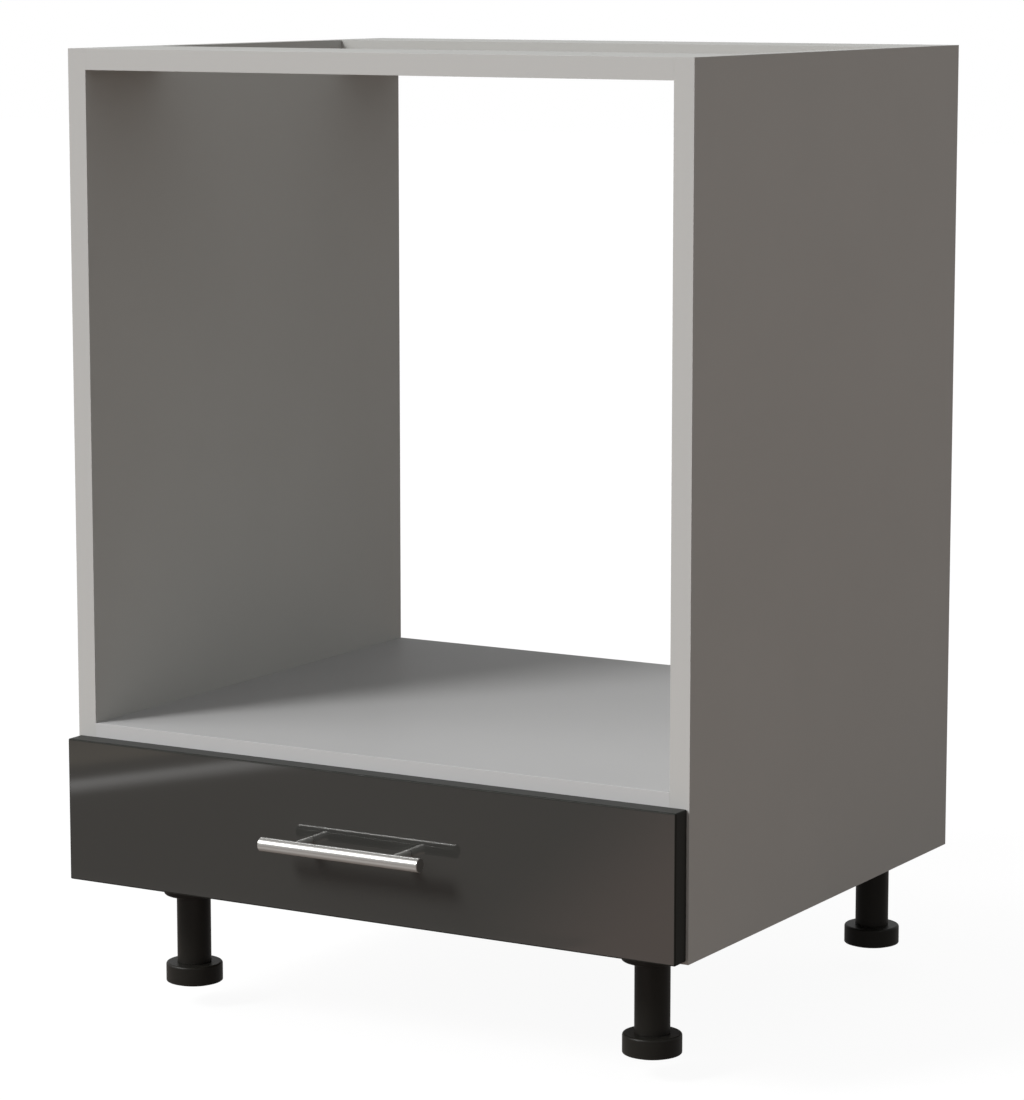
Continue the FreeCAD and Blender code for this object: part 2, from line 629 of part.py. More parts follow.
screw_holes = [
    rod(f"socket_hole_{number}", (f"{side}dims.socket_screw_spacing / 2", row, HOLLOW_HEIGHT), "+Z",
        "dims.wood_screw_diameter + 2 * dims.hole_play", "dims.socket_plate")
    for number, (side, row) in enumerate(
        (side, row) for side in ("-", "") for row in ("dims.socket_screw_near", "dims.socket_screw_far"))
]
socket = cut("socket", fuse("socket_blank", [collar, flange]), [pockets, plug_bore] + screw_holes)

column = turned("column", (
    (NUT_BORE, "0"),
    ("dims.leg_diameter / 2", "0"),
    ("dims.leg_diameter / 2", COLUMN_LENGTH),
    (COLUMN_BORE, COLUMN_LENGTH),
    (COLUMN_BORE, "dims.nut_length"),
    (NUT_BORE, "dims.nut_length"),
))
DISC_HEIGHT = "(dims.foot_height - dims.pad_proud)"
foot = turned("foot", (
    ("0", STUD_HOLE),
    (STUD_RADIUS, STUD_HOLE),
    (STUD_RADIUS, PAD_RECESS),
    (PAD_RADIUS, PAD_RECESS),
    (PAD_RADIUS, "0"),
    ("dims.foot_diameter / 2", "0"),
    ("dims.foot_diameter / 2", DISC_HEIGHT),
    ("dims.stem_diameter / 2", DISC_HEIGHT),
    ("dims.stem_diameter / 2", f"{DISC_HEIGHT} + dims.stem_length"),
    ("0", f"{DISC_HEIGHT} + dims.stem_length"),
))
soften(foot, "dims.foot_rounding", highest_rim)
soften(foot, "dims.foot_edge", lowest_rim)
pad = turned("pad", (
    ("0", "0"),
    ("dims.pad_diameter / 2", "0"),
    ("dims.pad_diameter / 2", "dims.pad_thickness"),
    ("dims.pivot_diameter / 2", "dims.pad_thickness"),
    ("dims.pivot_diameter / 2", "dims.pad_thickness + dims.pivot_height"),
    ("0", "dims.pad_thickness + dims.pivot_height"),
))

leg_screw = pan_screw(
    "leg_screw", "dims.wood_screw_diameter", "dims.leg_screw_length",
    "dims.wood_screw_head", "dims.wood_screw_head_height")
leg_screws = []
for leg in LEGS:
    name, across, depth, towards_middle = leg
    seat = copy_of(socket, f"{name}_socket", (across, depth, SOCKET_LOW))
    if towards_middle == "-":
        seat.Placement = FreeCAD.Placement(FreeCAD.Vector(), FreeCAD.Rotation(DIRECTIONS["+Z"], 180))
    keep(group(f"{name}_socket_piece", [seat]), f"leg_socket_{name}")
    for piece, label, height in (
        (column, "leg_column", COLUMN_LOW),
        (foot, "foot", "dims.pad_proud"),
        (pad, "foot_pad", "0"),
    ):
        standing = copy_of(piece, f"{name}_{label}_copy", (across, depth, height))
        keep(group(f"{name}_{label}", [standing]), f"{label}_{name}")
    for number, (screw_across, screw_depth) in enumerate(socket_screw_places(leg)):
        leg_screws.append(copy_of(
            leg_screw, f"{name}_leg_screw_{number}",
            (screw_across, screw_depth, f"{COLUMN_HIGH} - dims.wood_screw_head_height")))
keep(group("leg_screw_set", leg_screws), "leg_screws")


# Drawer box: sides run the full length, inner front and back stand between them, and the bottom
# lies in a groove all round
BOX_HEIGHT = f"({BOX_TOP} - {BOX_BOTTOM})"
BOX_INSIDE = f"({BOX_SIDE} - dims.box_board)"
BOX_DEPTH = f"({BOX_BACK} - {BOX_FRONT})"
GROOVE_LOW = f"({BOX_BOTTOM} + dims.groove_height)"
GROOVE_WIDTH = "(dims.bottom_thickness + 2 * dims.groove_play)"
CORNER_HEIGHTS = (f"{BOX_BOTTOM} + dims.box_screw_low", f"{BOX_TOP} - dims.box_screw_high")
CORNER_DEPTHS = (f"{BOX_FRONT} + dims.box_board / 2", f"{BOX_BACK} - dims.box_board / 2")
CORNERS = [(depth, height) for depth in CORNER_DEPTHS for height in CORNER_HEIGHTS]
SINK_HEIGHT = "(dims.wood_screw_head / 2 - dims.wood_screw_diameter / 2)"

sink = doc.addObject("Part::Cone", "sink")
sink.setExpression("Radius1", "dims.wood_screw_head / 2 + dims.hole_play")
sink.setExpression("Radius2", "dims.wood_screw_diameter / 2 + dims.hole_play")
sink.setExpression("Height", SINK_HEIGHT)

side_cuts = [block(
    "box_side_groove", (f"-{BOX_INSIDE} - dims.groove_depth", BOX_FRONT, GROOVE_LOW),
    ("dims.groove_depth", BOX_DEPTH, GROOVE_WIDTH))]
for number, (depth, height) in enumerate(CORNERS):
    side_cuts.append(pilot(
        f"box_side_hole_{number}", (f"-{BOX_SIDE}", depth, height), "+X",
        "dims.wood_screw_diameter", "dims.box_board"))
    side_cuts.append(copy_of(sink, f"box_side_sink_{number}", (f"-{BOX_SIDE}", depth, height), "+X"))
for number, step in enumerate(RAIL_SCREW_STEPS):
    side_cuts.append(pilot(
        f"box_rail_hole_{number}", (f"-{BOX_SIDE}", f"{RUNNER_FRONT} + {step}", RAIL_SCREW_HEIGHT), "+X",
        "dims.rail_screw_diameter", "dims.rail_screw_length - dims.runner_sheet + dims.hole_rest"))
box_side_board = block(
    "box_side_board", (f"-{BOX_SIDE}", BOX_FRONT, BOX_BOTTOM), ("dims.box_board", BOX_DEPTH, BOX_HEIGHT))
box_side = keep(cut("box_side", box_side_board, side_cuts), "drawer_side_left")
mirrored(box_side, "drawer_side_right")


def end_holes(name, depth):
    """Corner screw holes in both ends of the inner front or back."""
    return [
        pilot(f"{name}_{hand}_corner_{number}", (f"{sign}{BOX_INSIDE}", depth, height), direction,
              "dims.wood_screw_diameter", "dims.box_screw_length - dims.box_board + dims.hole_rest")
        for hand, sign, direction in (("left", "-", "+X"), ("right", "", "-X"))
        for number, height in enumerate(CORNER_HEIGHTS)
    ]


FRONT_SCREWS = [
    (f"{side}dims.front_screw_spacing / 2", height)
    for side in ("-", "")
    for height in (f"{BOX_BOTTOM} + dims.front_screw_low", f"{BOX_TOP} - dims.front_screw_high")
]
POSTS = (("left", "-dims.handle_centres / 2"), ("right", "dims.handle_centres / 2"))
INNER_FACE = f"({BOX_FRONT} + dims.box_board)"

inner_front_cuts = end_holes("inner_front", CORNER_DEPTHS[0])
inner_front_cuts.append(block(
    "inner_front_groove", (f"-{BOX_INSIDE}", f"{INNER_FACE} - dims.groove_depth", GROOVE_LOW),
    (f"2 * {BOX_INSIDE}", "dims.groove_depth", GROOVE_WIDTH)))
for number, (across, height) in enumerate(FRONT_SCREWS):
    inner_front_cuts.append(pilot(
        f"inner_front_screw_{number}", (across, BOX_FRONT, height), "+Y",
        "dims.wood_screw_diameter", "dims.box_board"))
for hand, across in POSTS:
    inner_front_cuts.append(pilot(
        f"inner_front_handle_{hand}", (across, BOX_FRONT, FRONT_MIDDLE), "+Y",
        "dims.handle_screw_diameter", "dims.box_board"))
inner_front_board = block(
    "inner_front_board", (f"-{BOX_INSIDE}", BOX_FRONT, BOX_BOTTOM),
    (f"2 * {BOX_INSIDE}", "dims.box_board", BOX_HEIGHT))
keep(cut("inner_front", inner_front_board, inner_front_cuts), "drawer_inner_front")

back_cuts = end_holes("box_back", CORNER_DEPTHS[1])
back_cuts.append(block(
    "box_back_groove", (f"-{BOX_INSIDE}", f"{BOX_BACK} - dims.box_board", GROOVE_LOW),
    (f"2 * {BOX_INSIDE}", "dims.groove_depth", GROOVE_WIDTH)))
box_back_board = block(
    "box_back_board", (f"-{BOX_INSIDE}", f"{BOX_BACK} - dims.box_board", BOX_BOTTOM),
    (f"2 * {BOX_INSIDE}", "dims.box_board", BOX_HEIGHT))
keep(cut("box_back", box_back_board, back_cuts), "drawer_back")

TONGUE = "(dims.groove_depth - dims.groove_play)"
BOTTOM_CORNER = (f"-{BOX_INSIDE} - {TONGUE}", f"{INNER_FACE} - {TONGUE}", f"{GROOVE_LOW} + dims.groove_play")
BOTTOM_WIDTH = f"2 * {BOX_INSIDE} + 2 * {TONGUE}"
BOTTOM_DEPTH = f"{BOX_DEPTH} - 2 * dims.box_board + 2 * {TONGUE}"
drawer_bottom = block("box_bottom", BOTTOM_CORNER, (BOTTOM_WIDTH, BOTTOM_DEPTH, "dims.bottom_thickness"))
keep(drawer_bottom, "drawer_bottom")

box_screw = sunk_screw(
    "box_screw", "dims.wood_screw_diameter", "dims.box_screw_length", "dims.wood_screw_head")
box_screws = [
    copy_of(box_screw, f"box_screw_{hand}_{number}", (f"{sign}{BOX_SIDE}", depth, height), direction)
    for hand, sign, direction in (("left", "-", "+X"), ("right", "", "-X"))
    for number, (depth, height) in enumerate(CORNERS)
]
keep(group("box_screw_set", box_screws), "drawer_box_screws")


# Drawer front: one board with rounded front edges, screwed on from inside the box
front_body = extruded("front_slab", (
    ("0", "0"),
    ("dims.carcass_width - 2 * dims.front_side_reveal", "0"),
    ("dims.carcass_width - 2 * dims.front_side_reveal", f"{FRONT_HIGH} - {FRONT_LOW}"),
    ("0", f"{FRONT_HIGH} - {FRONT_LOW}"),
), "dims.front_thickness")


def not_at_the_back(edges):
    """Every edge of the slab except the four of its back face."""
    return [edge for edge in edges if edge.BoundBox.YMin < sheet.front_thickness / 2]


soften(front_body, "dims.front_rounding", not_at_the_back)
place(front_body, ("dims.front_side_reveal - dims.carcass_width / 2", FRONT_FACE, FRONT_LOW))
front_cuts = []
for number, (across, height) in enumerate(FRONT_SCREWS):
    front_cuts.append(pilot(
        f"front_pilot_{number}", (across, BOX_FRONT, height), "-Y",
        "dims.wood_screw_diameter", "dims.front_screw_length - dims.box_board + dims.hole_rest"))
for hand, across in POSTS:
    front_cuts.append(pilot(
        f"front_handle_hole_{hand}", (across, FRONT_FACE, FRONT_MIDDLE), "+Y",
        "dims.handle_screw_diameter", "dims.front_thickness"))
keep(cut("drawer_front_slab", front_body, front_cuts), "drawer_front")

front_screw = pan_screw(
    "front_screw", "dims.wood_screw_diameter", "dims.front_screw_length",
    "dims.wood_screw_head", "dims.wood_screw_head_height")
SCREW_HEADS = f"{INNER_FACE} + dims.wood_screw_head_height"
front_screws = [
    copy_of(front_screw, f"front_screw_{number}", (across, SCREW_HEADS, height), "-Y")
    for number, (across, height) in enumerate(FRONT_SCREWS)
]
keep(group("front_screw_set", front_screws), "drawer_front_screws")

BUMPER_ACROSS = "(dims.carcass_width / 2 - dims.board / 2)"
bumpers = [
    rod(f"bumper_{number}", (f"{side}{BUMPER_ACROSS}", BOX_FRONT, height), "+Y",
        "dims.bumper_diameter", "dims.front_gap - dims.bumper_play")
    for number, (side, height) in enumerate(
        (side, height) for side in ("-", "")
        for height in (f"{FRONT_LOW} + dims.bumper_inset", f"{FRONT_HIGH} - dims.bumper_inset"))
]
keep(group("bumper_set", bumpers), "drawer_bumpers")


# Handle: a round bar on two posts, each post drawn to the drawer front by a screw from inside
BAR_AXIS = f"({FRONT_FACE} - dims.handle_standoff)"
SPIGOT_ROOT = f"({BAR_AXIS} + dims.bar_diameter / 2 + dims.spigot_past_axis)"
SPIGOT_LENGTH = "(dims.bar_diameter / 2 + 2 * dims.spigot_past_axis - dims.hole_play)"
bar = turned("bar", (
    ("0", "0"),
    ("dims.bar_diameter / 2 - dims.bar_chamfer", "0"),
    ("dims.bar_diameter / 2", "dims.bar_chamfer"),
    ("dims.bar_diameter / 2", "dims.bar_length - dims.bar_chamfer"),
    ("dims.bar_diameter / 2 - dims.bar_chamfer", "dims.bar_length"),
    ("0", "dims.bar_length"),
))
place(bar, ("-dims.bar_length / 2", BAR_AXIS, FRONT_MIDDLE), "+X")
bar_holes = [
    pilot(f"bar_hole_{hand}", (across, f"{BAR_AXIS} - dims.spigot_past_axis", FRONT_MIDDLE), "+Y",
          "dims.spigot_diameter", "dims.bar_diameter")
    for hand, across in POSTS
]
keep(cut("handle_rod", bar, bar_holes), "handle_bar")
for hand, across in POSTS:
    stem = rod(
        f"post_stem_{hand}", (across, FRONT_FACE, FRONT_MIDDLE), "-Y",
        "dims.post_diameter", "dims.handle_standoff")
    saddle = rod(
        f"post_saddle_{hand}", (f"{across} - dims.post_diameter", BAR_AXIS, FRONT_MIDDLE), "+X",
        "dims.bar_diameter", "2 * dims.post_diameter")
    spigot = rod(
        f"post_spigot_{hand}", (across, SPIGOT_ROOT, FRONT_MIDDLE), "-Y",
        "dims.spigot_diameter", SPIGOT_LENGTH)
    thread = pilot(
        f"post_thread_{hand}", (across, FRONT_FACE, FRONT_MIDDLE), "-Y",
        "dims.handle_screw_diameter", "dims.post_thread_depth + dims.hole_rest")
    saddled = cut(f"post_saddled_{hand}", stem, [saddle])
    keep(cut(f"post_{hand}", fuse(f"post_blank_{hand}", [saddled, spigot]), [thread]), f"handle_post_{hand}")
handle_screw = pan_screw(
    "handle_screw", "dims.handle_screw_diameter",
    "(dims.box_board + dims.front_thickness + dims.post_thread_depth)",
    "dims.handle_screw_head", "dims.wood_screw_head_height")
handle_screws = [
    copy_of(handle_screw, f"handle_screw_{hand}", (across, SCREW_HEADS, FRONT_MIDDLE), "-Y")
    for hand, across in POSTS
]
keep(group("handle_screw_set", handle_screws), "handle_screws")


# Runners: three nested channels a side. The cabinet rail opens towards the drawer, the middle
# rail lies inside it, and the drawer rail faces the other way; two rows of balls run between
# each pair, held by a thin cage. Section points are measured from the side panel and from the
# lower edge of the cabinet rail.
BALL_SEAT = "(dims.ball_diameter / 2 - dims.race_depth)"
RACE = "(dims.race_depth + dims.race_play)"
HALF_RACE = "dims.race_width / 2"


def from_top(level):
    """The same level below the upper edge as another is above the lower one."""
    return f"(dims.runner_height - ({level}))"


CABINET_INNER = "dims.runner_sheet"
OUTER_BALLS = f"({CABINET_INNER} + {BALL_SEAT})"
MIDDLE_OUTER = f"({OUTER_BALLS} + {BALL_SEAT})"
MIDDLE_INNER = f"({MIDDLE_OUTER} + dims.runner_sheet)"
INNER_BALLS = f"({MIDDLE_INNER} + {BALL_SEAT})"
DRAWER_OUTER = f"({INNER_BALLS} + {BALL_SEAT})"
DRAWER_INNER = f"({DRAWER_OUTER} + dims.runner_sheet)"
OUTER_RACE = ("(dims.outer_race - dims.race_width / 2)", "(dims.outer_race + dims.race_width / 2)")
INNER_ROW = "(dims.runner_thickness - dims.inner_race)"
INNER_RACE = (f"({INNER_ROW} - {HALF_RACE})", f"({INNER_ROW} + {HALF_RACE})")
MIDDLE_EDGE = "(dims.runner_thickness - dims.middle_gap)"
MIDDLE_WEB = "(dims.middle_offset + dims.runner_sheet)"
DRAWER_EDGE = "(dims.runner_thickness - dims.drawer_flange)"
DRAWER_WEB = "(dims.runner_thickness - dims.runner_sheet)"


def race(level, ends, into):
    """Four corners of a race cut into a flange face, from its first end to its second."""
    floor = f"{level} {into} {RACE}"
    return [(ends[0], level), (ends[0], floor), (ends[1], floor), (ends[1], level)]


def half_and_mirror(lower):
    """A closed section from its lower half, given from the inside round to the outside."""
    return list(lower) + [(across, from_top(level)) for across, level in reversed(lower)]


cabinet_section = half_and_mirror(
    [(CABINET_INNER, CABINET_INNER)]
    + race(CABINET_INNER, OUTER_RACE, "-")
    + [("dims.cabinet_flange", CABINET_INNER), ("dims.cabinet_flange", "0"), ("0", "0")])
middle_section = half_and_mirror(
    [(MIDDLE_WEB, MIDDLE_INNER)]
    + race(MIDDLE_INNER, INNER_RACE, "-")
    + [(MIDDLE_EDGE, MIDDLE_INNER), (MIDDLE_EDGE, MIDDLE_OUTER)]
    + race(MIDDLE_OUTER, OUTER_RACE[::-1], "+")
    + [("dims.middle_offset", MIDDLE_OUTER)])
drawer_section = half_and_mirror(
    [(DRAWER_WEB, DRAWER_INNER), (DRAWER_EDGE, DRAWER_INNER), (DRAWER_EDGE, DRAWER_OUTER)]
    + race(DRAWER_OUTER, INNER_RACE, "+")
    + [("dims.runner_thickness", DRAWER_OUTER)])
RUNNER_PLACE = (f"-{INSIDE}", RUNNER_FRONT, RUNNER_LOW)


def rail_screw_bores(name, web):
    across = f"-{INSIDE} + {web}"
    return [
        pilot(f"{name}_bore_{number}", (across, f"{RUNNER_FRONT} + {step}", RAIL_SCREW_HEIGHT), "+X",
              "dims.rail_screw_diameter", "dims.runner_sheet")
        for number, step in enumerate(RAIL_SCREW_STEPS)
    ]


cabinet_channel = place(extruded("cabinet_channel", cabinet_section, RUNNER_LENGTH), RUNNER_PLACE)
cabinet_rail = cut("cabinet_rail", cabinet_channel, rail_screw_bores("cabinet_rail", "0"))
keep(cabinet_rail, "runner_cabinet_rail_left")
mirrored(cabinet_rail, "runner_cabinet_rail_right")
middle_rail = extruded("middle_rail", middle_section, f"{RUNNER_LENGTH} - dims.middle_shortfall")
keep(place(middle_rail, RUNNER_PLACE), "runner_middle_rail_left")
mirrored(middle_rail, "runner_middle_rail_right")
drawer_channel = place(extruded("drawer_channel", drawer_section, RUNNER_LENGTH), RUNNER_PLACE)
drawer_rail = cut("drawer_rail", drawer_channel, rail_screw_bores("drawer_rail", DRAWER_WEB))
keep(drawer_rail, "runner_drawer_rail_left")
mirrored(drawer_rail, "runner_drawer_rail_right")

BALLS_PER_ROW = 6
CAGE_LENGTH = f"({RUNNER_LENGTH} - dims.cage_front_inset - dims.cage_rear_inset)"
CAGE_FRONT = f"({RUNNER_FRONT} + dims.cage_front_inset)"
BALL_STEPS = [
    f"{CAGE_FRONT} + dims.cage_end + ({CAGE_LENGTH} - 2 * dims.cage_end) * {number} / {BALLS_PER_ROW - 1}"
    for number in range(BALLS_PER_ROW)
]
HALF_SHEET = "dims.cage_sheet / 2"
BALL_HOLE = "(dims.ball_diameter + 2 * dims.cage_play)"
ball = doc.addObject("Part::Sphere", "ball")
ball.setExpression("Radius", "dims.ball_diameter / 2")


def ball_cage(name, web, row, level):
    """A thin channel with a hole for each ball of its two rows, and the balls in it."""
    lip = f"({row} + {BALL_HOLE} / 2 + dims.cage_rim)"
    lower = [
        (f"{web} + dims.cage_sheet", f"{level} + {HALF_SHEET}"),
        (lip, f"{level} + {HALF_SHEET}"),
        (lip, f"{level} - {HALF_SHEET}"),
        (web, f"{level} - {HALF_SHEET}"),
    ]
    strip = extruded(f"{name}_strip", half_and_mirror(lower), CAGE_LENGTH)
    place(strip, (f"-{INSIDE}", CAGE_FRONT, RUNNER_LOW))
    across = f"-{INSIDE} + {row}"
    holes = [
        rod(f"{name}_hole_{number}", (across, step, RUNNER_LOW), "+Z", BALL_HOLE, "dims.runner_height")
        for number, step in enumerate(BALL_STEPS)
    ]
    cage = keep(cut(f"{name}_cage", strip, holes), f"runner_{name}_cage_left")
    mirrored(cage, f"runner_{name}_cage_right")
    balls = [
        copy_of(ball, f"{name}_ball_{row_name}_{number}", (across, step, f"{RUNNER_LOW} + {height}"))
        for row_name, height in (("low", level), ("high", from_top(level)))
        for number, step in enumerate(BALL_STEPS)
    ]
    ball_set = keep(group(f"{name}_balls", balls), f"runner_{name}_balls_left")
    mirrored(ball_set, f"runner_{name}_balls_right")


ball_cage("outer", "(dims.middle_offset - dims.cage_gap - dims.cage_sheet)", "dims.outer_race", OUTER_BALLS)
ball_cage("inner", f"({MIDDLE_WEB} + dims.cage_gap)", INNER_ROW, INNER_BALLS)

BUFFER_FRONT = f"({RUNNER_FRONT} + {RUNNER_LENGTH} - dims.middle_shortfall + dims.buffer_gap)"
BUFFER_WIDTH = f"({DRAWER_EDGE} - dims.runner_sheet - dims.cage_gap)"
left_buffer = block(
    "left_buffer",
    (f"-{INSIDE} + dims.runner_sheet", BUFFER_FRONT, f"{RAIL_SCREW_HEIGHT} - dims.buffer_height / 2"),
    (BUFFER_WIDTH, "dims.middle_shortfall - dims.buffer_gap", "dims.buffer_height"))
right_buffer = doc.addObject("Part::Mirroring", "right_buffer")
right_buffer.Source = left_buffer
right_buffer.Normal = DIRECTIONS["+X"]
keep(group("buffers", [left_buffer, right_buffer]), "runner_buffers")

rail_screw = pan_screw(
    "rail_screw", "dims.rail_screw_diameter", "dims.rail_screw_length",
    "dims.rail_screw_head", "dims.rail_screw_head_height")
CABINET_HEAD = f"({INSIDE} - dims.runner_sheet - dims.rail_screw_head_height)"
DRAWER_HEAD = f"({BOX_SIDE} + dims.runner_sheet + dims.rail_screw_head_height)"
for label, head, left_way, right_way in (
    ("cabinet_rail_screws", CABINET_HEAD, "-X", "+X"),
    ("drawer_rail_screws", DRAWER_HEAD, "+X", "-X"),
):
    screws = []
    for hand, sign, way in (("left", "-", left_way), ("right", "", right_way)):
        for number, step in enumerate(RAIL_SCREW_STEPS):
            seat = (f"{sign}{head}", f"{RUNNER_FRONT} + {step}", RAIL_SCREW_HEIGHT)
            screws.append(copy_of(rail_screw, f"{label}_{hand}_{number}", seat, way))
    keep(group(f"{label}_set", screws), label)


# Check every feature and every sub-part, then write one file for each sub-part
doc.recompute()
for item in doc.Objects:
    if "Invalid" in item.State or "Error" in item.State:
        raise RuntimeError(f"{item.Name} did not build: {item.State}")
for piece in pieces:
    if piece.Shape.isNull() or not piece.Shape.isValid() or not piece.Shape.Solids:
        raise RuntimeError(f"{piece.Label} has no valid shape")
os.makedirs("parts", exist_ok=True)
for piece in pieces:
    piece.Shape.exportStep(f"parts/{piece.Label}.step")
print(f"{len(pieces)} pieces written")
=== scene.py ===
import bpy
import bmesh
import math
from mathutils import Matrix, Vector


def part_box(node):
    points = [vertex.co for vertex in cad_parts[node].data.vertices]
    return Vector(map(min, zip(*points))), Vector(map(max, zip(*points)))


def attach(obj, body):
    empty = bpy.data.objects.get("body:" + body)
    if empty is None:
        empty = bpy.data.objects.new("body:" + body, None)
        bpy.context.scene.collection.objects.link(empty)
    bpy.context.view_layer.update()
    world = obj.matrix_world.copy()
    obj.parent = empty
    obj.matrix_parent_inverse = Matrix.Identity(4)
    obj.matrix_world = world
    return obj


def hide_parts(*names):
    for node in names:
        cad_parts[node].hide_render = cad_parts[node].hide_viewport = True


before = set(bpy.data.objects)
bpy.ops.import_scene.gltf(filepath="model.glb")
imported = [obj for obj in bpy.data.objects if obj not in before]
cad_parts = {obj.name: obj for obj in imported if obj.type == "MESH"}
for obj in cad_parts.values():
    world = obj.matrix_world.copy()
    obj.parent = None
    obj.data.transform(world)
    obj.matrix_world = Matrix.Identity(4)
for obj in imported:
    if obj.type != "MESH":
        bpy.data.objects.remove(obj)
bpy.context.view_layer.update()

# Carcass boards: two sides, base, oven deck and two top rails, cut from 18 mm chipboard that is faced
# with light grey melamine paper, pressed under a finely pitted plate. Flat, stiff and square, they keep
# the shape of the frame and get their finish here.
MELAMINE = "#B4B4B1"
MELAMINE_CLOUD = "#AFAFAC"
BOARD_SHINE = 0.15
DECK = "#AEAEAE"
DECK_CLOUD = "#AAAAAA"
DECK_SHINE = 0.05
# Sizes are metres, apart from those whose names end in MM.
MM_PER_M = 1000
CLOUD_MM = 120
# The real pits are about 0.3 mm across, too fine to show, and are drawn larger.
PIT_MM = 1.5
PIT_DEPTH_MM = 0.03


def linear(colour):
    """A colour written as an sRGB hex value, as the shader wants it."""
    shares = [int(colour[start:start + 2], 16) / 255 for start in (1, 3, 5)]
    bent = [share / 12.92 if share <= 0.04045 else ((share + 0.055) / 1.055) ** 2.4 for share in shares]
    return (*bent, 1)


def tune(material, node, settings, links=()):
    """Set a node's sockets, or its properties where no socket has that name, and link its inputs."""
    for name, value in settings.items():
        if isinstance(name, int) or name in node.inputs:
            node.inputs[name].default_value = value
        else:
            setattr(node, name, value)
    for name, output in dict(links).items():
        material.node_tree.links.new(output, node.inputs[name])
    return node


def add_node(material, kind, settings, links=()):
    """Add a node with its settings and links."""
    return tune(material, material.node_tree.nodes.new("ShaderNode" + kind), settings, links)


def start_material(name):
    """A new finish: its material, its shader, and the place on the piece that its patterns read."""
    material = bpy.data.materials.new(name)
    material.use_nodes = True
    place = add_node(material, "TexCoord", {}).outputs["Object"]
    return material, material.node_tree.nodes["Principled BSDF"], place


def dress(material, *names):
    """Give pieces of the frame their finish."""
    for name in names:
        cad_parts[name].material_slots[0].material = material


def melamine(name, paper, cloud, shine):
    """Melamine resin pressed on printed paper: dull and even, with fine pits that break up the gloss."""
    material, shader, place = start_material(name)
    clouds = add_node(material, "TexNoise", {"Scale": MM_PER_M / CLOUD_MM, "Detail": 4}, {"Vector": place})
    tone = add_node(
        material, "MixRGB", {"Color1": linear(paper), "Color2": linear(cloud)},
        {"Fac": clouds.outputs["Fac"]})
    pits = add_node(material, "TexNoise", {"Scale": MM_PER_M / PIT_MM, "Detail": 2}, {"Vector": place})
    relief = add_node(
        material, "Bump", {"Strength": 0.4, "Distance": PIT_DEPTH_MM / MM_PER_M},
        {"Height": pits.outputs["Fac"]})
    tune(
        material, shader, {"Roughness": 0.5, "Specular IOR Level": shine},
        {"Base Color": tone.outputs["Color"], "Normal": relief.outputs["Normal"]})
    return material


board_grey = melamine("grey_melamine_board", MELAMINE, MELAMINE_CLOUD, BOARD_SHINE)
dress(board_grey, "side_panel_left", "side_panel_right", "base_panel", "top_rail_front", "top_rail_rear")
dress(melamine("neutral_grey_melamine_deck", DECK, DECK_CLOUD, DECK_SHINE), "oven_deck")

# Edge banding: strips of 1 mm grey ABS glued on the front edges of the sides, base, deck and front rail.
# They are trimmed flush with the boards, and a scraper then eases their two long arrises.
BAND_GREY = "#B4B4B2"
DECK_BAND_GREY = "#B7B7B7"
DECK_BAND_INDEX = 1
BAND_SHINE = 0.25
BAND_ARRIS = 0.00015
SCRAPE_MM = 0.8
SCRAPE_DEPTH_MM = 0.02
SAME_PLACE = 1e-5
ACROSS = 0
UP = 2


def select_edges(wanted):
    """Select, in edit mode, the edges that wanted picks by their two ends."""
    bpy.ops.mesh.select_mode(type="EDGE")
    bpy.ops.mesh.select_all(action="DESELECT")
    mesh = bmesh.from_edit_mesh(bpy.context.object.data)
    for edge in mesh.edges:
        edge.select_set(wanted(edge.verts[0].co, edge.verts[1].co))
    bmesh.update_edit_mesh(bpy.context.object.data)


def near(first, second):
    """Whether two places along one axis are the same."""
    return abs(first - second) < SAME_PLACE


def add_block(name, low, high):
    """A box between two corners, with its place in its mesh."""
    bpy.ops.object.select_all(action="DESELECT")
    bpy.ops.mesh.primitive_cube_add(size=1, location=(low + high) / 2, scale=high - low)
    bpy.context.object.name = name
    bpy.ops.object.transform_apply()
    return bpy.context.object


def join(name, parts):
    """Join modelled parts into one piece."""
    bpy.ops.object.select_all(action="DESELECT")
    for part in parts:
        part.select_set(True)
    bpy.context.view_layer.objects.active = parts[0]
    bpy.ops.object.join()
    parts[0].name = name
    parts[0].data.name = name
    return parts[0]


def smooth(piece, degrees):
    """Shade rounded faces smooth and keep flat faces flat right up to their roundings."""
    bpy.ops.object.select_all(action="DESELECT")
    piece.select_set(True)
    bpy.context.view_layer.objects.active = piece
    bpy.ops.object.shade_smooth_by_angle(angle=math.radians(degrees))
    flatten = piece.modifiers.new("flat_faces", "WEIGHTED_NORMAL")
    flatten.keep_sharp = True
    bpy.ops.object.modifier_apply(modifier=flatten.name)


def band_strip(board, along):
    """The strip on the front edge of one board, its arrises eased along the given axis."""
    low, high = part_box(board)
    band_low, band_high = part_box("front_edge_bands")
    strip = add_block(
        board + "_band", Vector((low.x, band_low.y, low.z)), Vector((high.x, band_high.y, high.z)))
    bpy.ops.object.mode_set(mode="EDIT")
    select_edges(
        lambda first, second: near(first.y, band_low.y) and near(second.y, band_low.y)
        and not near(first[along], second[along]))
    bpy.ops.mesh.bevel(offset=BAND_ARRIS, segments=3, affect="EDGES")
    bpy.ops.object.mode_set(mode="OBJECT")
    return strip


edge_bands = join("edge_banding", [
    band_strip("side_panel_left", UP),
    band_strip("side_panel_right", UP),
    band_strip("base_panel", ACROSS),
    band_strip("oven_deck", ACROSS),
    band_strip("top_rail_front", ACROSS),
])
smooth(edge_bands, degrees=40)


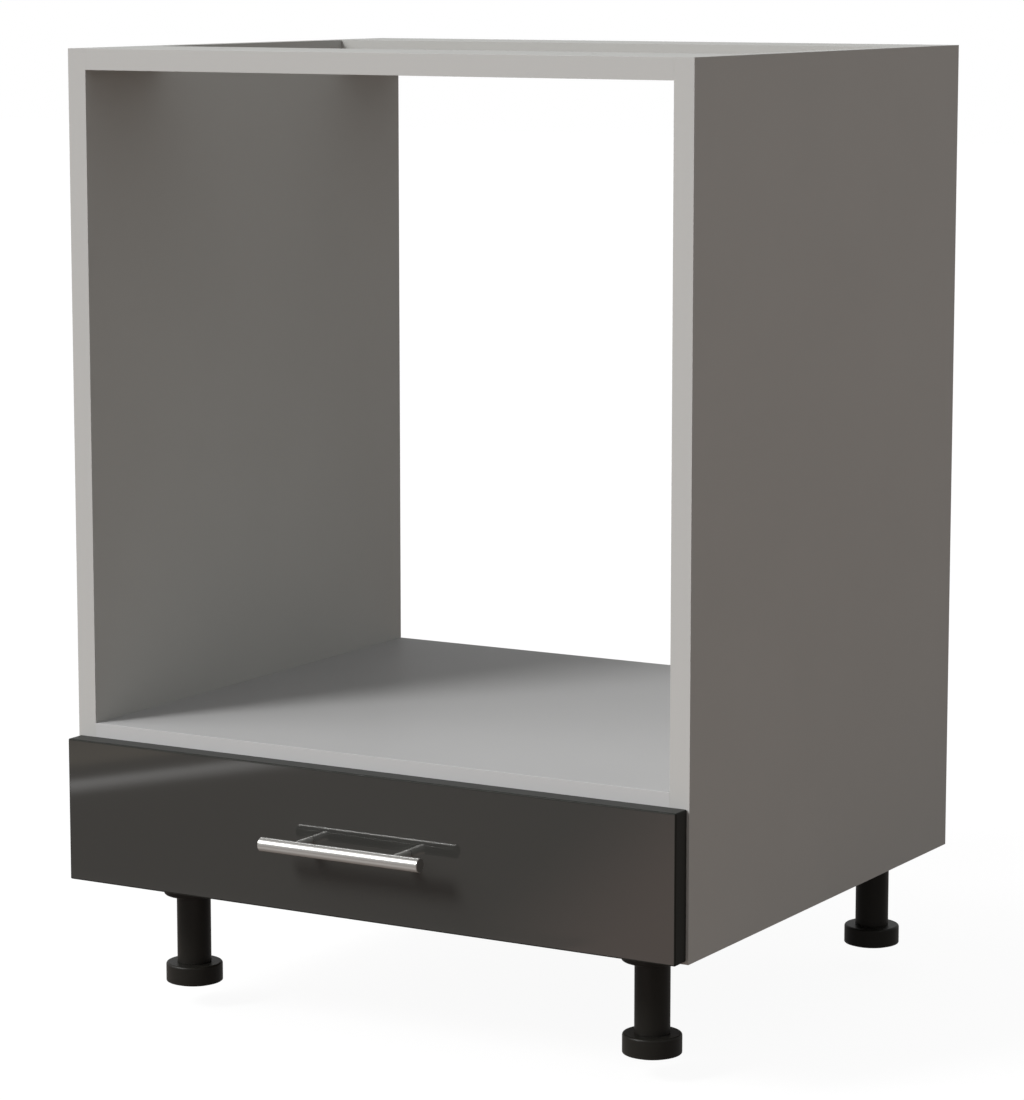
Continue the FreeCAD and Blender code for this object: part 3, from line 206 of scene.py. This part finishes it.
def abs_band(name, colour):
    """Extruded ABS: satin, a touch smoother than the board, with faint scraper chatter."""
    material, shader, place = start_material(name)
    chatter = add_node(
        material, "TexNoise", {"Scale": MM_PER_M / SCRAPE_MM, "Detail": 1}, {"Vector": place})
    relief = add_node(
        material, "Bump", {"Strength": 0.2, "Distance": SCRAPE_DEPTH_MM / MM_PER_M},
        {"Height": chatter.outputs["Fac"]})
    sheen = add_node(
        material, "MapRange", {"To Min": 0.4, "To Max": 0.5}, {"Value": chatter.outputs["Fac"]})
    tune(
        material, shader, {"Base Color": linear(colour), "Specular IOR Level": BAND_SHINE},
        {"Roughness": sheen.outputs["Result"], "Normal": relief.outputs["Normal"]})
    return material


edge_bands.data.materials.append(abs_band("grey_abs_edging", BAND_GREY))
edge_bands.data.materials.append(abs_band("neutral_grey_abs_edging", DECK_BAND_GREY))
deck_low, deck_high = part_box("oven_deck")
for face in edge_bands.data.polygons:
    if deck_low.z <= face.center.z <= deck_high.z:
        face.material_index = DECK_BAND_INDEX
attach(edge_bands, "carcass")
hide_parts("front_edge_bands")

# Board fittings: turned beech dowels, and cam bolts of plated steel drawn tight by die-cast zinc cams
# from below. Only the cam faces show, in the undersides of the boards.
BEECH = "#C8A271"
BEECH_DARK = "#B0834F"
BEECH_RAY_MM = 2.5
BEECH_STRETCH = (0.15, 1, 1)
PLATED_STEEL = "#C3C6C8"
CAST_ZINC = "#A9ABAC"
EVEN = (1, 1, 1)
METAL_DEPTH_MM = 0.02
METAL_SPREAD = 0.06


def beech(name):
    """Turned beech: warm tan with short darker flecks along the grain."""
    material, shader, place = start_material(name)
    along = add_node(material, "Mapping", {"Scale": BEECH_STRETCH}, {"Vector": place})
    flecks = add_node(
        material, "TexNoise", {"Scale": MM_PER_M / BEECH_RAY_MM, "Detail": 3},
        {"Vector": along.outputs["Vector"]})
    tone = add_node(
        material, "MixRGB", {"Color1": linear(BEECH), "Color2": linear(BEECH_DARK)},
        {"Fac": flecks.outputs["Fac"]})
    tune(material, shader, {"Roughness": 0.6}, {"Base Color": tone.outputs["Color"]})
    return material


def metal(name, colour, dullness, grain_mm, stretch):
    """Bare or plated metal: its gloss varies a little over a grain that may be drawn out along one axis."""
    material, shader, place = start_material(name)
    drawn = add_node(material, "Mapping", {"Scale": stretch}, {"Vector": place})
    grain = add_node(
        material, "TexNoise", {"Scale": MM_PER_M / grain_mm, "Detail": 3},
        {"Vector": drawn.outputs["Vector"]})
    gloss = add_node(
        material, "MapRange", {"To Min": dullness - METAL_SPREAD, "To Max": dullness + METAL_SPREAD},
        {"Value": grain.outputs["Fac"]})
    relief = add_node(
        material, "Bump", {"Strength": 0.15, "Distance": METAL_DEPTH_MM / MM_PER_M},
        {"Height": grain.outputs["Fac"]})
    tune(
        material, shader, {"Base Color": linear(colour), "Metallic": 1},
        {"Roughness": gloss.outputs["Result"], "Normal": relief.outputs["Normal"]})
    return material


plated_steel = metal("zinc_plated_steel", PLATED_STEEL, dullness=0.3, grain_mm=1.2, stretch=EVEN)
dress(beech("turned_beech"), "joint_dowels")
dress(metal("die_cast_zinc", CAST_ZINC, dullness=0.45, grain_mm=0.9, stretch=EVEN), "cam_discs")
dress(plated_steel, "cam_bolts")

# Legs: each has a socket and a column moulded in black polypropylene, the socket held up to the base by
# four pan-head screws. The foot's stem screws into the column, and a hard glide pad turns under the foot.
LEG_BLACK = "#1F1E1B"
GLIDE_BLACK = "#1B1B1A"
LEG_DULLNESS = 0.4
LEG_SHINE = 0.15
SPARK_MM = 0.7
SPARK_DEPTH_MM = 0.04
SPARK_SPREAD = 0.05
FOOT_TOP_ROUND = 0.002
FOOT_LOW_ROUND = 0.001
STEM_RADIUS = 0.010
STEM_CHAMFER = 0.0012
THREAD_PITCH = 0.004
THREAD_DEPTH = 0.0013
# The profile is sunk a little into the stem, and its crest is a share of its root's width.
THREAD_SINK = 0.0001
THREAD_ROOT = 0.003
THREAD_CREST_SHARE = 0.4
PAD_PLAY = 0.00008
PAD_RECESS = 0.002
STUD_RADIUS = 0.004
STUD_HOLE = 0.0082
COLUMN_GAP = 0.0002
ROUND_STEPS = 64
FACING = 0.9
LEGS = ("front_left", "front_right", "rear_left", "rear_right")


def moulded(name, colour, dullness, shine):
    """Injection-moulded plastic with the fine texture of a spark-eroded mould."""
    material, shader, place = start_material(name)
    sparks = add_node(material, "TexNoise", {"Scale": MM_PER_M / SPARK_MM, "Detail": 2}, {"Vector": place})
    relief = add_node(
        material, "Bump", {"Strength": 0.3, "Distance": SPARK_DEPTH_MM / MM_PER_M},
        {"Height": sparks.outputs["Fac"]})
    sheen = add_node(
        material, "MapRange", {"To Min": dullness - SPARK_SPREAD, "To Max": dullness + SPARK_SPREAD},
        {"Value": sparks.outputs["Fac"]})
    tune(
        material, shader, {"Base Color": linear(colour), "Specular IOR Level": shine},
        {"Roughness": sheen.outputs["Result"], "Normal": relief.outputs["Normal"]})
    return material


def select_faces(wanted):
    """Select, in edit mode, the faces that wanted picks by their normal."""
    bpy.ops.mesh.select_mode(type="FACE")
    bpy.ops.mesh.select_all(action="DESELECT")
    mesh = bmesh.from_edit_mesh(bpy.context.object.data)
    for face in mesh.faces:
        face.select_set(wanted(face.normal))
    bmesh.update_edit_mesh(bpy.context.object.data)


def rise(height):
    """Extrude the selected face straight up."""
    bpy.ops.mesh.extrude_region_move(TRANSFORM_OT_translate={"value": (0, 0, height)})


def shrink_to(radius, now):
    """Inset the selected round face so that its rim moves from one radius to a smaller one."""
    bpy.ops.mesh.inset(thickness=(now - radius) * math.cos(math.pi / ROUND_STEPS))


def foot_shape(low, high, pad_low, pad_high):
    """The foot about the Z axis: a disc with rounded rims, its pad recess below and its stem above."""
    disc_radius = (high.x - low.x) / 2
    pad_radius = (pad_high.x - pad_low.x) / 2 + PAD_PLAY
    disc_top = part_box("leg_column_front_left")[0].z - COLUMN_GAP
    disc_middle = (0, 0, (low.z + disc_top) / 2)
    bpy.ops.object.select_all(action="DESELECT")
    bpy.ops.mesh.primitive_cylinder_add(
        vertices=ROUND_STEPS, radius=disc_radius, depth=disc_top - low.z, location=disc_middle)
    bpy.ops.object.transform_apply()
    foot = bpy.context.object
    bpy.ops.object.mode_set(mode="EDIT")
    select_faces(lambda normal: normal.z > FACING)
    shrink_to(STEM_RADIUS - THREAD_DEPTH, disc_radius)
    rise(high.z - disc_top)
    bpy.ops.mesh.bevel(offset=STEM_CHAMFER, segments=1, affect="EDGES")
    select_faces(lambda normal: normal.z < -FACING)
    shrink_to(pad_radius, disc_radius)
    rise(PAD_RECESS + PAD_PLAY)
    shrink_to(STUD_RADIUS + PAD_PLAY, pad_radius)
    rise(STUD_HOLE)
    inside_rim = pad_radius + FOOT_LOW_ROUND
    for level, rounding in ((disc_top, FOOT_TOP_ROUND), (low.z, FOOT_LOW_ROUND)):
        select_edges(
            lambda first, second: near(first.z, level) and near(second.z, level)
            and first.xy.length > inside_rim and second.xy.length > inside_rim)
        bpy.ops.mesh.bevel(offset=rounding, segments=6, affect="EDGES")
    bpy.ops.object.mode_set(mode="OBJECT")
    return foot, disc_top


def stem_thread(start, length):
    """A trapezoid thread wound up the stem: one flat profile swept by a screw, its two ends closed."""
    bpy.ops.object.select_all(action="DESELECT")
    bpy.ops.mesh.primitive_plane_add(size=1, rotation=(math.pi / 2, 0, 0))
    bpy.ops.object.transform_apply()
    winding = bpy.context.object
    root = STEM_RADIUS - THREAD_DEPTH - THREAD_SINK
    crest = STEM_RADIUS
    bpy.ops.object.mode_set(mode="EDIT")
    bpy.ops.transform.resize(value=(crest - root, 1, THREAD_ROOT))
    bpy.ops.transform.translate(value=((crest + root) / 2, 0, start + THREAD_ROOT / 2))
    select_edges(lambda first, second: near(first.x, crest) and near(second.x, crest))
    bpy.ops.transform.resize(value=(1, 1, THREAD_CREST_SHARE))
    bpy.ops.mesh.select_all(action="SELECT")
    bpy.ops.mesh.delete(type="ONLY_FACE")
    bpy.ops.object.mode_set(mode="OBJECT")
    sweep = winding.modifiers.new("winding", "SCREW")
    sweep.axis = "Z"
    sweep.angle = 2 * math.pi
    sweep.screw_offset = THREAD_PITCH
    sweep.iterations = int((length - THREAD_ROOT) / THREAD_PITCH)
    sweep.steps = ROUND_STEPS // 2
    sweep.render_steps = ROUND_STEPS // 2
    bpy.ops.object.modifier_apply(modifier=sweep.name)
    bpy.ops.object.mode_set(mode="EDIT")
    bpy.ops.mesh.select_all(action="SELECT")
    bpy.ops.mesh.remove_doubles(threshold=1e-6)
    bpy.ops.mesh.fill_holes(sides=4)
    bpy.ops.mesh.select_all(action="SELECT")
    bpy.ops.mesh.normals_make_consistent(inside=False)
    bpy.ops.object.mode_set(mode="OBJECT")
    return winding


def place_copy(original, name, middle):
    """A copy of a piece modelled at the origin, with its own mesh, moved to its place."""
    piece = original.copy()
    piece.data = original.data.copy()
    piece.name = name
    piece.data.name = name
    bpy.context.scene.collection.objects.link(piece)
    bpy.ops.object.select_all(action="DESELECT")
    piece.select_set(True)
    bpy.context.view_layer.objects.active = piece
    piece.location = middle
    bpy.ops.object.transform_apply()
    return piece


black_plastic = moulded("black_polypropylene", LEG_BLACK, LEG_DULLNESS, LEG_SHINE)
first_low, first_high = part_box("foot_front_left")
disc, stem_start = foot_shape(first_low, first_high, *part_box("foot_pad_front_left"))
thread = stem_thread(stem_start, first_high.z - stem_start)
foot_pattern = join("foot_pattern", [disc, thread])
smooth(foot_pattern, degrees=35)
foot_pattern.data.materials.append(black_plastic)
for leg in LEGS:
    low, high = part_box("foot_" + leg)
    middle = Vector(((low.x + high.x) / 2, (low.y + high.y) / 2, 0))
    foot = place_copy(foot_pattern, "threaded_foot_" + leg, middle)
    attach(foot, "foot_" + leg)
    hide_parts("foot_" + leg)
    dress(black_plastic, "leg_socket_" + leg, "leg_column_" + leg)
bpy.data.objects.remove(foot_pattern)
glide_plastic = moulded("black_polyethylene_glide", GLIDE_BLACK, LEG_DULLNESS, LEG_SHINE)
dress(glide_plastic, *("foot_pad_" + leg for leg in LEGS))
dress(plated_steel, "leg_screws")

# Drawer runners: three nested channels a side, rolled from zinc-plated strip. Hard steel balls run in
# thin pressed cages between them, and a plastic buffer stops the middle channel at the rear.
ROLLED_ZINC = "#BFC3C6"
CAGE_STEEL = "#9EA1A3"
BALL_STEEL = "#D4D6D8"
ACETAL = "#D9D8D2"
ROLLED = (1, 0.04, 1)

rolled_strip = metal("rolled_zinc_strip", ROLLED_ZINC, dullness=0.32, grain_mm=0.8, stretch=ROLLED)
cage_strip = metal("pressed_cage_strip", CAGE_STEEL, dullness=0.4, grain_mm=0.8, stretch=ROLLED)
ball_steel = metal("polished_ball_steel", BALL_STEEL, dullness=0.12, grain_mm=1.0, stretch=EVEN)
for hand in ("left", "right"):
    dress(rolled_strip, *(f"runner_{rail}_rail_{hand}" for rail in ("cabinet", "middle", "drawer")))
    dress(cage_strip, *(f"runner_{row}_cage_{hand}" for row in ("outer", "inner")))
    dress(ball_steel, *(f"runner_{row}_balls_{hand}" for row in ("outer", "inner")))
dress(moulded("white_acetal_buffer", ACETAL, dullness=0.4, shine=0.3), "runner_buffers")
dress(plated_steel, "cabinet_rail_screws", "drawer_rail_screws")

# Drawer box: four sides of 16 mm board in the carcass grey, screwed at the corners, round a bottom of
# 3 mm hardboard that lies in a groove.
HARDBOARD = "#B1AFAA"
HARDBOARD_DARK = "#A6A49F"
FIBRE_MM = 2.0
FIBRE_DEPTH_MM = 0.05

box_grey = melamine("grey_melamine_box", MELAMINE, MELAMINE_CLOUD, BOARD_SHINE)
dress(box_grey, "drawer_inner_front", "drawer_side_left", "drawer_side_right", "drawer_back")


def hardboard(name):
    """Lacquered hardboard: smooth and flat, with felted fibres showing faintly through the paint."""
    material, shader, place = start_material(name)
    fibres = add_node(
        material, "TexNoise",
        {"Scale": MM_PER_M / FIBRE_MM, "Detail": 6, "Roughness": 0.7, "Distortion": 1.5},
        {"Vector": place})
    tone = add_node(
        material, "MixRGB", {"Color1": linear(HARDBOARD), "Color2": linear(HARDBOARD_DARK)},
        {"Fac": fibres.outputs["Fac"]})
    relief = add_node(
        material, "Bump", {"Strength": 0.2, "Distance": FIBRE_DEPTH_MM / MM_PER_M},
        {"Height": fibres.outputs["Fac"]})
    tune(
        material, shader, {"Roughness": 0.42, "Specular IOR Level": 0.3},
        {"Base Color": tone.outputs["Color"], "Normal": relief.outputs["Normal"]})
    return material


dress(hardboard("lacquered_hardboard"), "drawer_bottom")
dress(plated_steel, "drawer_box_screws")

# Drawer front: an 18 mm slab with a high-gloss anthracite face, dull black banding with rounded arrises
# on its four edges, and a plain dull back. Four screws hold it to the box from inside.
GLOSS = "#363634"
FRONT_EDGE = "#232421"
FRONT_EDGE_INDEX = 1
FRONT_BACK = "#4A4947"
FRONT_BACK_INDEX = 2
FRONT_ROUND = 0.0012
QUITE_FLAT = 0.999
PEEL_MM = 9
PEEL_DEPTH_MM = 0.02

front_low, front_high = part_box("drawer_front")
drawer_front = add_block("gloss_drawer_front", front_low, front_high)
bpy.ops.object.mode_set(mode="EDIT")
select_edges(lambda first, second: not (near(first.y, front_high.y) and near(second.y, front_high.y)))
bpy.ops.mesh.bevel(offset=FRONT_ROUND, segments=6, affect="EDGES")
bpy.ops.object.mode_set(mode="OBJECT")
smooth(drawer_front, degrees=40)


def gloss_face(name):
    """High-gloss laminate: a deep even colour under a clear hard surface with a trace of orange peel."""
    material, shader, place = start_material(name)
    peel = add_node(material, "TexNoise", {"Scale": MM_PER_M / PEEL_MM, "Detail": 1}, {"Vector": place})
    relief = add_node(
        material, "Bump", {"Strength": 0.1, "Distance": PEEL_DEPTH_MM / MM_PER_M},
        {"Height": peel.outputs["Fac"]})
    tune(
        material, shader, {"Base Color": linear(GLOSS), "Roughness": 0.05, "Specular IOR Level": 0.4},
        {"Normal": relief.outputs["Normal"]})
    return material


drawer_front.data.materials.append(gloss_face("anthracite_gloss_laminate"))
drawer_front.data.materials.append(moulded("black_edge_band", FRONT_EDGE, dullness=0.3, shine=0.05))
drawer_front.data.materials.append(melamine("dull_grey_backing", FRONT_BACK, FRONT_BACK, shine=0.2))
for face in drawer_front.data.polygons:
    if face.normal.y > FACING:
        face.material_index = FRONT_BACK_INDEX
    elif face.normal.y > -QUITE_FLAT:
        face.material_index = FRONT_EDGE_INDEX
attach(drawer_front, "drawer")
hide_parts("drawer_front")
dress(plated_steel, "drawer_front_screws")

# Bumpers: four small domes of clear soft plastic stuck behind the corners of the drawer front, so that
# it closes quietly on the edges of the sides.
CLEAR = "#F0F0EC"
BUMPER_RADIUS = 0.004
DOME_ROUND = 0.0007


def bumper_shape(depth):
    """One bumper about the Y axis, its rim rounded on the side that meets the carcass."""
    bpy.ops.object.select_all(action="DESELECT")
    bpy.ops.mesh.primitive_cylinder_add(
        vertices=ROUND_STEPS // 2, radius=BUMPER_RADIUS, depth=depth, rotation=(math.pi / 2, 0, 0))
    bpy.ops.object.transform_apply()
    bpy.ops.object.mode_set(mode="EDIT")
    select_edges(lambda first, second: near(first.y, depth / 2) and near(second.y, depth / 2))
    bpy.ops.mesh.bevel(offset=DOME_ROUND, segments=4, affect="EDGES")
    bpy.ops.object.mode_set(mode="OBJECT")
    return bpy.context.object


def clear_cast(name):
    """Cast polyurethane: clear and soft, its skin faintly uneven."""
    material, shader, place = start_material(name)
    skin = add_node(material, "TexNoise", {"Scale": MM_PER_M / SPARK_MM}, {"Vector": place})
    haze = add_node(material, "MapRange", {"To Min": 0.08, "To Max": 0.2}, {"Value": skin.outputs["Fac"]})
    tune(
        material, shader, {"Base Color": linear(CLEAR), "Transmission Weight": 1, "IOR": 1.49},
        {"Roughness": haze.outputs["Result"]})
    return material


bumper_low, bumper_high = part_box("drawer_bumpers")
bumper_pattern = bumper_shape(bumper_high.y - bumper_low.y)
bumpers = join("clear_bumpers", [
    place_copy(bumper_pattern, "bumper", Vector((across, (bumper_low.y + bumper_high.y) / 2, height)))
    for across in (bumper_low.x + BUMPER_RADIUS, bumper_high.x - BUMPER_RADIUS)
    for height in (bumper_low.z + BUMPER_RADIUS, bumper_high.z - BUMPER_RADIUS)
])
bpy.data.objects.remove(bumper_pattern)
smooth(bumpers, degrees=60)
bumpers.data.materials.append(clear_cast("clear_soft_polyurethane"))
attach(bumpers, "drawer")
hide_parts("drawer_bumpers")

# Handle: a round bar on two posts, brushed along its length in stainless steel. The posts are turned,
# and a long screw from inside the drawer draws each of them up to the front.
STAINLESS = "#B6B5B2"
STAINLESS_DARK = "#9B9A97"
# The end faces get a darker colour that is painted shade, besides their real duller finish.
SHADED_END = "#6E6D6A"
TURNED_POST = "#DDDCD9"
# Fine scratches scatter light, so the brushed steel is a little less of a mirror than bare steel.
STAINLESS_BARE = 0.55
BRUSH_MM = 0.6
BRUSH_DEPTH_MM = 0.03
BRUSH_STRETCH = (0.004, 1, 1)


def brushed_bar(name):
    """Stainless steel with fine streaks along X; its two sawn and faced ends are duller, painted darker as
    shade.
    """
    material, shader, place = start_material(name)
    drawn = add_node(material, "Mapping", {"Scale": BRUSH_STRETCH}, {"Vector": place})
    streaks = add_node(
        material, "TexNoise", {"Scale": MM_PER_M / BRUSH_MM, "Detail": 3},
        {"Vector": drawn.outputs["Vector"]})
    tone = add_node(
        material, "MixRGB", {"Color1": linear(STAINLESS), "Color2": linear(STAINLESS_DARK)},
        {"Fac": streaks.outputs["Fac"]})
    relief = add_node(
        material, "Bump", {"Strength": 0.04, "Distance": BRUSH_DEPTH_MM / MM_PER_M},
        {"Height": streaks.outputs["Fac"]})
    # Where the normal runs along X, the end faces take the painted shade colour and a higher roughness.
    way = add_node(
        material, "SeparateXYZ", {}, {0: add_node(material, "TexCoord", {}).outputs["Normal"]})
    across = add_node(material, "Math", {"operation": "ABSOLUTE"}, {0: way.outputs["X"]})
    end_face = add_node(
        material, "MapRange", {"From Min": 0.5, "From Max": 0.9}, {"Value": across.outputs["Value"]})
    dullness = add_node(
        material, "MapRange", {"To Min": 0.18, "To Max": 0.65}, {"Value": end_face.outputs["Result"]})
    shade = add_node(
        material, "MixRGB", {"Color2": linear(SHADED_END)},
        {"Fac": end_face.outputs["Result"], "Color1": tone.outputs["Color"]})
    tune(
        material, shader, {"Metallic": STAINLESS_BARE},
        {"Base Color": shade.outputs["Color"], "Roughness": dullness.outputs["Result"],
         "Normal": relief.outputs["Normal"]})
    return material


dress(brushed_bar("brushed_stainless_bar"), "handle_bar")
turned_steel = metal("turned_stainless_post", TURNED_POST, dullness=0.42, grain_mm=BRUSH_MM, stretch=EVEN)
dress(turned_steel, "handle_post_left", "handle_post_right")
dress(plated_steel, "handle_screws")

# Studio: a pale floor that keeps the shadow and reads white, a white surround, a key light and a broader
# fill from the front left, and patches of light that show only in mirrors. Low over the floor, a narrow
# strip, a warm patch and a wash lie before the gloss front; the handle has one near it and one overhead.
WHITE = "#FFFFFF"
WARM = "#FFEED3"
ROSY = "#FFD5C5"
FLOOR_SIZE = 30
# The floor lies lower by a foot's full travel, so that feet that are screwed out stay clear of it.
FOOT_TRAVEL = 0.020
FLOOR_PLAY = 0.0005
FLOOR_BOUNCE = "#7B695E"
FLOOR_SHADOW = 0.08
FLOOR_GLOW = 0.94
SKY_STRENGTH = 0.41
MIRRORED_SHARE = 0.25
KEY_WAY = Vector((0.4, 0.67, -0.62))
KEY_SPREAD = 16
KEY_STRENGTH = 1.95
FILL_WAY = Vector((0.63, 0.51, -0.59))
FILL_SPREAD = 45
FILL_STRENGTH = 1.55
PATCH_HEIGHT = 0.001
STRIP_PLACE = (-0.768, -1.023, PATCH_HEIGHT)
STRIP_TURN = -63
STRIP_SIZE = (0.9, 0.09, 1)
WARM_PLACE = (-1.02, -1.04, PATCH_HEIGHT)
WARM_SIZE = (0.4, 0.3, 1)
WASH_PLACE = (0.09, -0.9, PATCH_HEIGHT)
WASH_TURN = -107
WASH_SIZE = (0.9, 0.6, 1)
NEAR_PLACE = (-0.15, -0.46, PATCH_HEIGHT)
NEAR_SIZE = (0.9, 0.36, 1)
OVERHEAD_PLACE = (-1.59, -1.96, 2.07)
OVERHEAD_SIZE = (0.6, 0.9, 1)


def background_rays(material):
    """One where the eye or clear plastic sees a surface, a share in mirrors, and nought for its light."""
    path = add_node(material, "LightPath", {})
    seen = add_node(
        material, "Math", {"operation": "ADD"},
        {0: path.outputs["Is Camera Ray"], 1: path.outputs["Is Transmission Ray"]})
    return add_node(
        material, "Math", {"operation": "MULTIPLY_ADD", 1: MIRRORED_SHARE, "use_clamp": True},
        {0: path.outputs["Is Glossy Ray"], 2: seen.outputs["Value"]}).outputs["Value"]


def floor_paint(name):
    """Matt floor paint: a warm grey in the light that it throws up, and pale where it is seen."""
    material = bpy.data.materials.new(name)
    material.use_nodes = True
    material.node_tree.nodes.remove(material.node_tree.nodes["Principled BSDF"])
    bounce = add_node(material, "BsdfDiffuse", {"Color": linear(FLOOR_BOUNCE)})
    shadow = add_node(material, "BsdfDiffuse", {"Color": (FLOOR_SHADOW, FLOOR_SHADOW, FLOOR_SHADOW, 1)})
    glow = add_node(material, "Emission", {"Strength": FLOOR_GLOW})
    pale = add_node(material, "AddShader", {}, {0: shadow.outputs["BSDF"], 1: glow.outputs["Emission"]})
    surface = add_node(
        material, "MixShader", {},
        {0: background_rays(material), 1: bounce.outputs["BSDF"], 2: pale.outputs["Shader"]})
    tune(material, material.node_tree.nodes["Material Output"], {}, {"Surface": surface.outputs["Shader"]})
    return material


bpy.ops.object.select_all(action="DESELECT")
bpy.ops.mesh.primitive_plane_add(size=FLOOR_SIZE, location=(0, 0, -FOOT_TRAVEL - FLOOR_PLAY))
floor = bpy.context.object
floor.name = "studio_floor"
floor.data.materials.append(floor_paint("pale_floor_paint"))

world = bpy.data.worlds.new("white_surround")
world.use_nodes = True
bpy.context.scene.world = world
soft = world.node_tree.nodes["Background"]
tune(world, soft, {"Color": linear(WHITE), "Strength": SKY_STRENGTH})
white = add_node(world, "Background", {"Color": linear(WHITE), "Strength": 1})
surround = add_node(
    world, "MixShader", {},
    {0: background_rays(world), 1: soft.outputs["Background"], 2: white.outputs["Background"]})
tune(world, world.node_tree.nodes["World Output"], {}, {"Surface": surround.outputs["Shader"]})


def far_light(name, way, spread, strength):
    """A distant light that shines one way, its softness set by how wide it looks."""
    light = bpy.data.lights.new(name, "SUN")
    light.energy = strength
    light.angle = math.radians(spread)
    lamp = bpy.data.objects.new(name, light)
    lamp.rotation_euler = way.to_track_quat("-Z", "Y").to_euler()
    bpy.context.scene.collection.objects.link(lamp)


far_light("key_light", KEY_WAY, KEY_SPREAD, KEY_STRENGTH)
far_light("fill_light", FILL_WAY, FILL_SPREAD, FILL_STRENGTH)


def light_patch(name, place, turn, size, crest, glow, tint):
    """A patch of light for mirrors alone: full along its crest line, fading to its two long edges."""
    bpy.ops.object.select_all(action="DESELECT")
    bpy.ops.mesh.primitive_plane_add(size=1, location=place, rotation=(0, 0, math.radians(turn)))
    patch = bpy.context.object
    patch.name = name
    patch.scale = size
    patch.visible_camera = False
    patch.visible_diffuse = False
    patch.visible_transmission = False
    patch.visible_shadow = False
    material, shader, across = start_material(name)
    material.node_tree.nodes.remove(shader)
    side = add_node(material, "SeparateXYZ", {}, {0: across})
    rising = add_node(
        material, "MapRange", {"interpolation_type": "SMOOTHSTEP", "From Min": -0.5, "From Max": crest},
        {"Value": side.outputs["Y"]})
    falling = add_node(
        material, "MapRange",
        {"interpolation_type": "SMOOTHSTEP", "From Min": crest, "From Max": 0.5,
         "To Min": glow, "To Max": 0},
        {"Value": side.outputs["Y"]})
    strength = add_node(
        material, "Math", {"operation": "MULTIPLY"},
        {0: rising.outputs["Result"], 1: falling.outputs["Result"]})
    light = add_node(material, "Emission", {"Color": linear(tint)}, {"Strength": strength.outputs["Value"]})
    clear = add_node(material, "BsdfTransparent", {})
    both = add_node(material, "AddShader", {}, {0: light.outputs["Emission"], 1: clear.outputs["BSDF"]})
    tune(material, material.node_tree.nodes["Material Output"], {}, {"Surface": both.outputs["Shader"]})
    patch.data.materials.append(material)


light_patch("strip_light", STRIP_PLACE, STRIP_TURN, STRIP_SIZE, crest=-0.2, glow=2.6, tint=WHITE)
light_patch("warm_light", WARM_PLACE, STRIP_TURN, WARM_SIZE, crest=0.36, glow=0.62, tint=WARM)
light_patch("floor_wash", WASH_PLACE, WASH_TURN, WASH_SIZE, crest=-0.15, glow=0.75, tint=ROSY)
light_patch("near_light", NEAR_PLACE, turn=0, size=NEAR_SIZE, crest=0, glow=0.5, tint=WHITE)
light_patch("overhead_light", OVERHEAD_PLACE, turn=0, size=OVERHEAD_SIZE, crest=0, glow=65, tint=WHITE)

# Camera: a long lens at the front right, just above the height of the cabinet's top and tilted a little
# down, so that both sides, the deck and the edges of the top rails show.
CAMERA_PLACE = (1.71083, -2.92139, 0.89613)
CAMERA_TURN = 30.355
CAMERA_DROP = 8.635
LENS_MM = 127.68
SENSOR_MM = 36

lens = bpy.data.cameras.new("camera")
lens.lens = LENS_MM
lens.sensor_width = SENSOR_MM
camera = bpy.data.objects.new("camera", lens)
camera.location = CAMERA_PLACE
camera.rotation_euler = (math.radians(90 - CAMERA_DROP), 0, math.radians(CAMERA_TURN))
bpy.context.scene.collection.objects.link(camera)
bpy.context.scene.camera = camera
bpy.context.scene.view_settings.view_transform = "Standard"
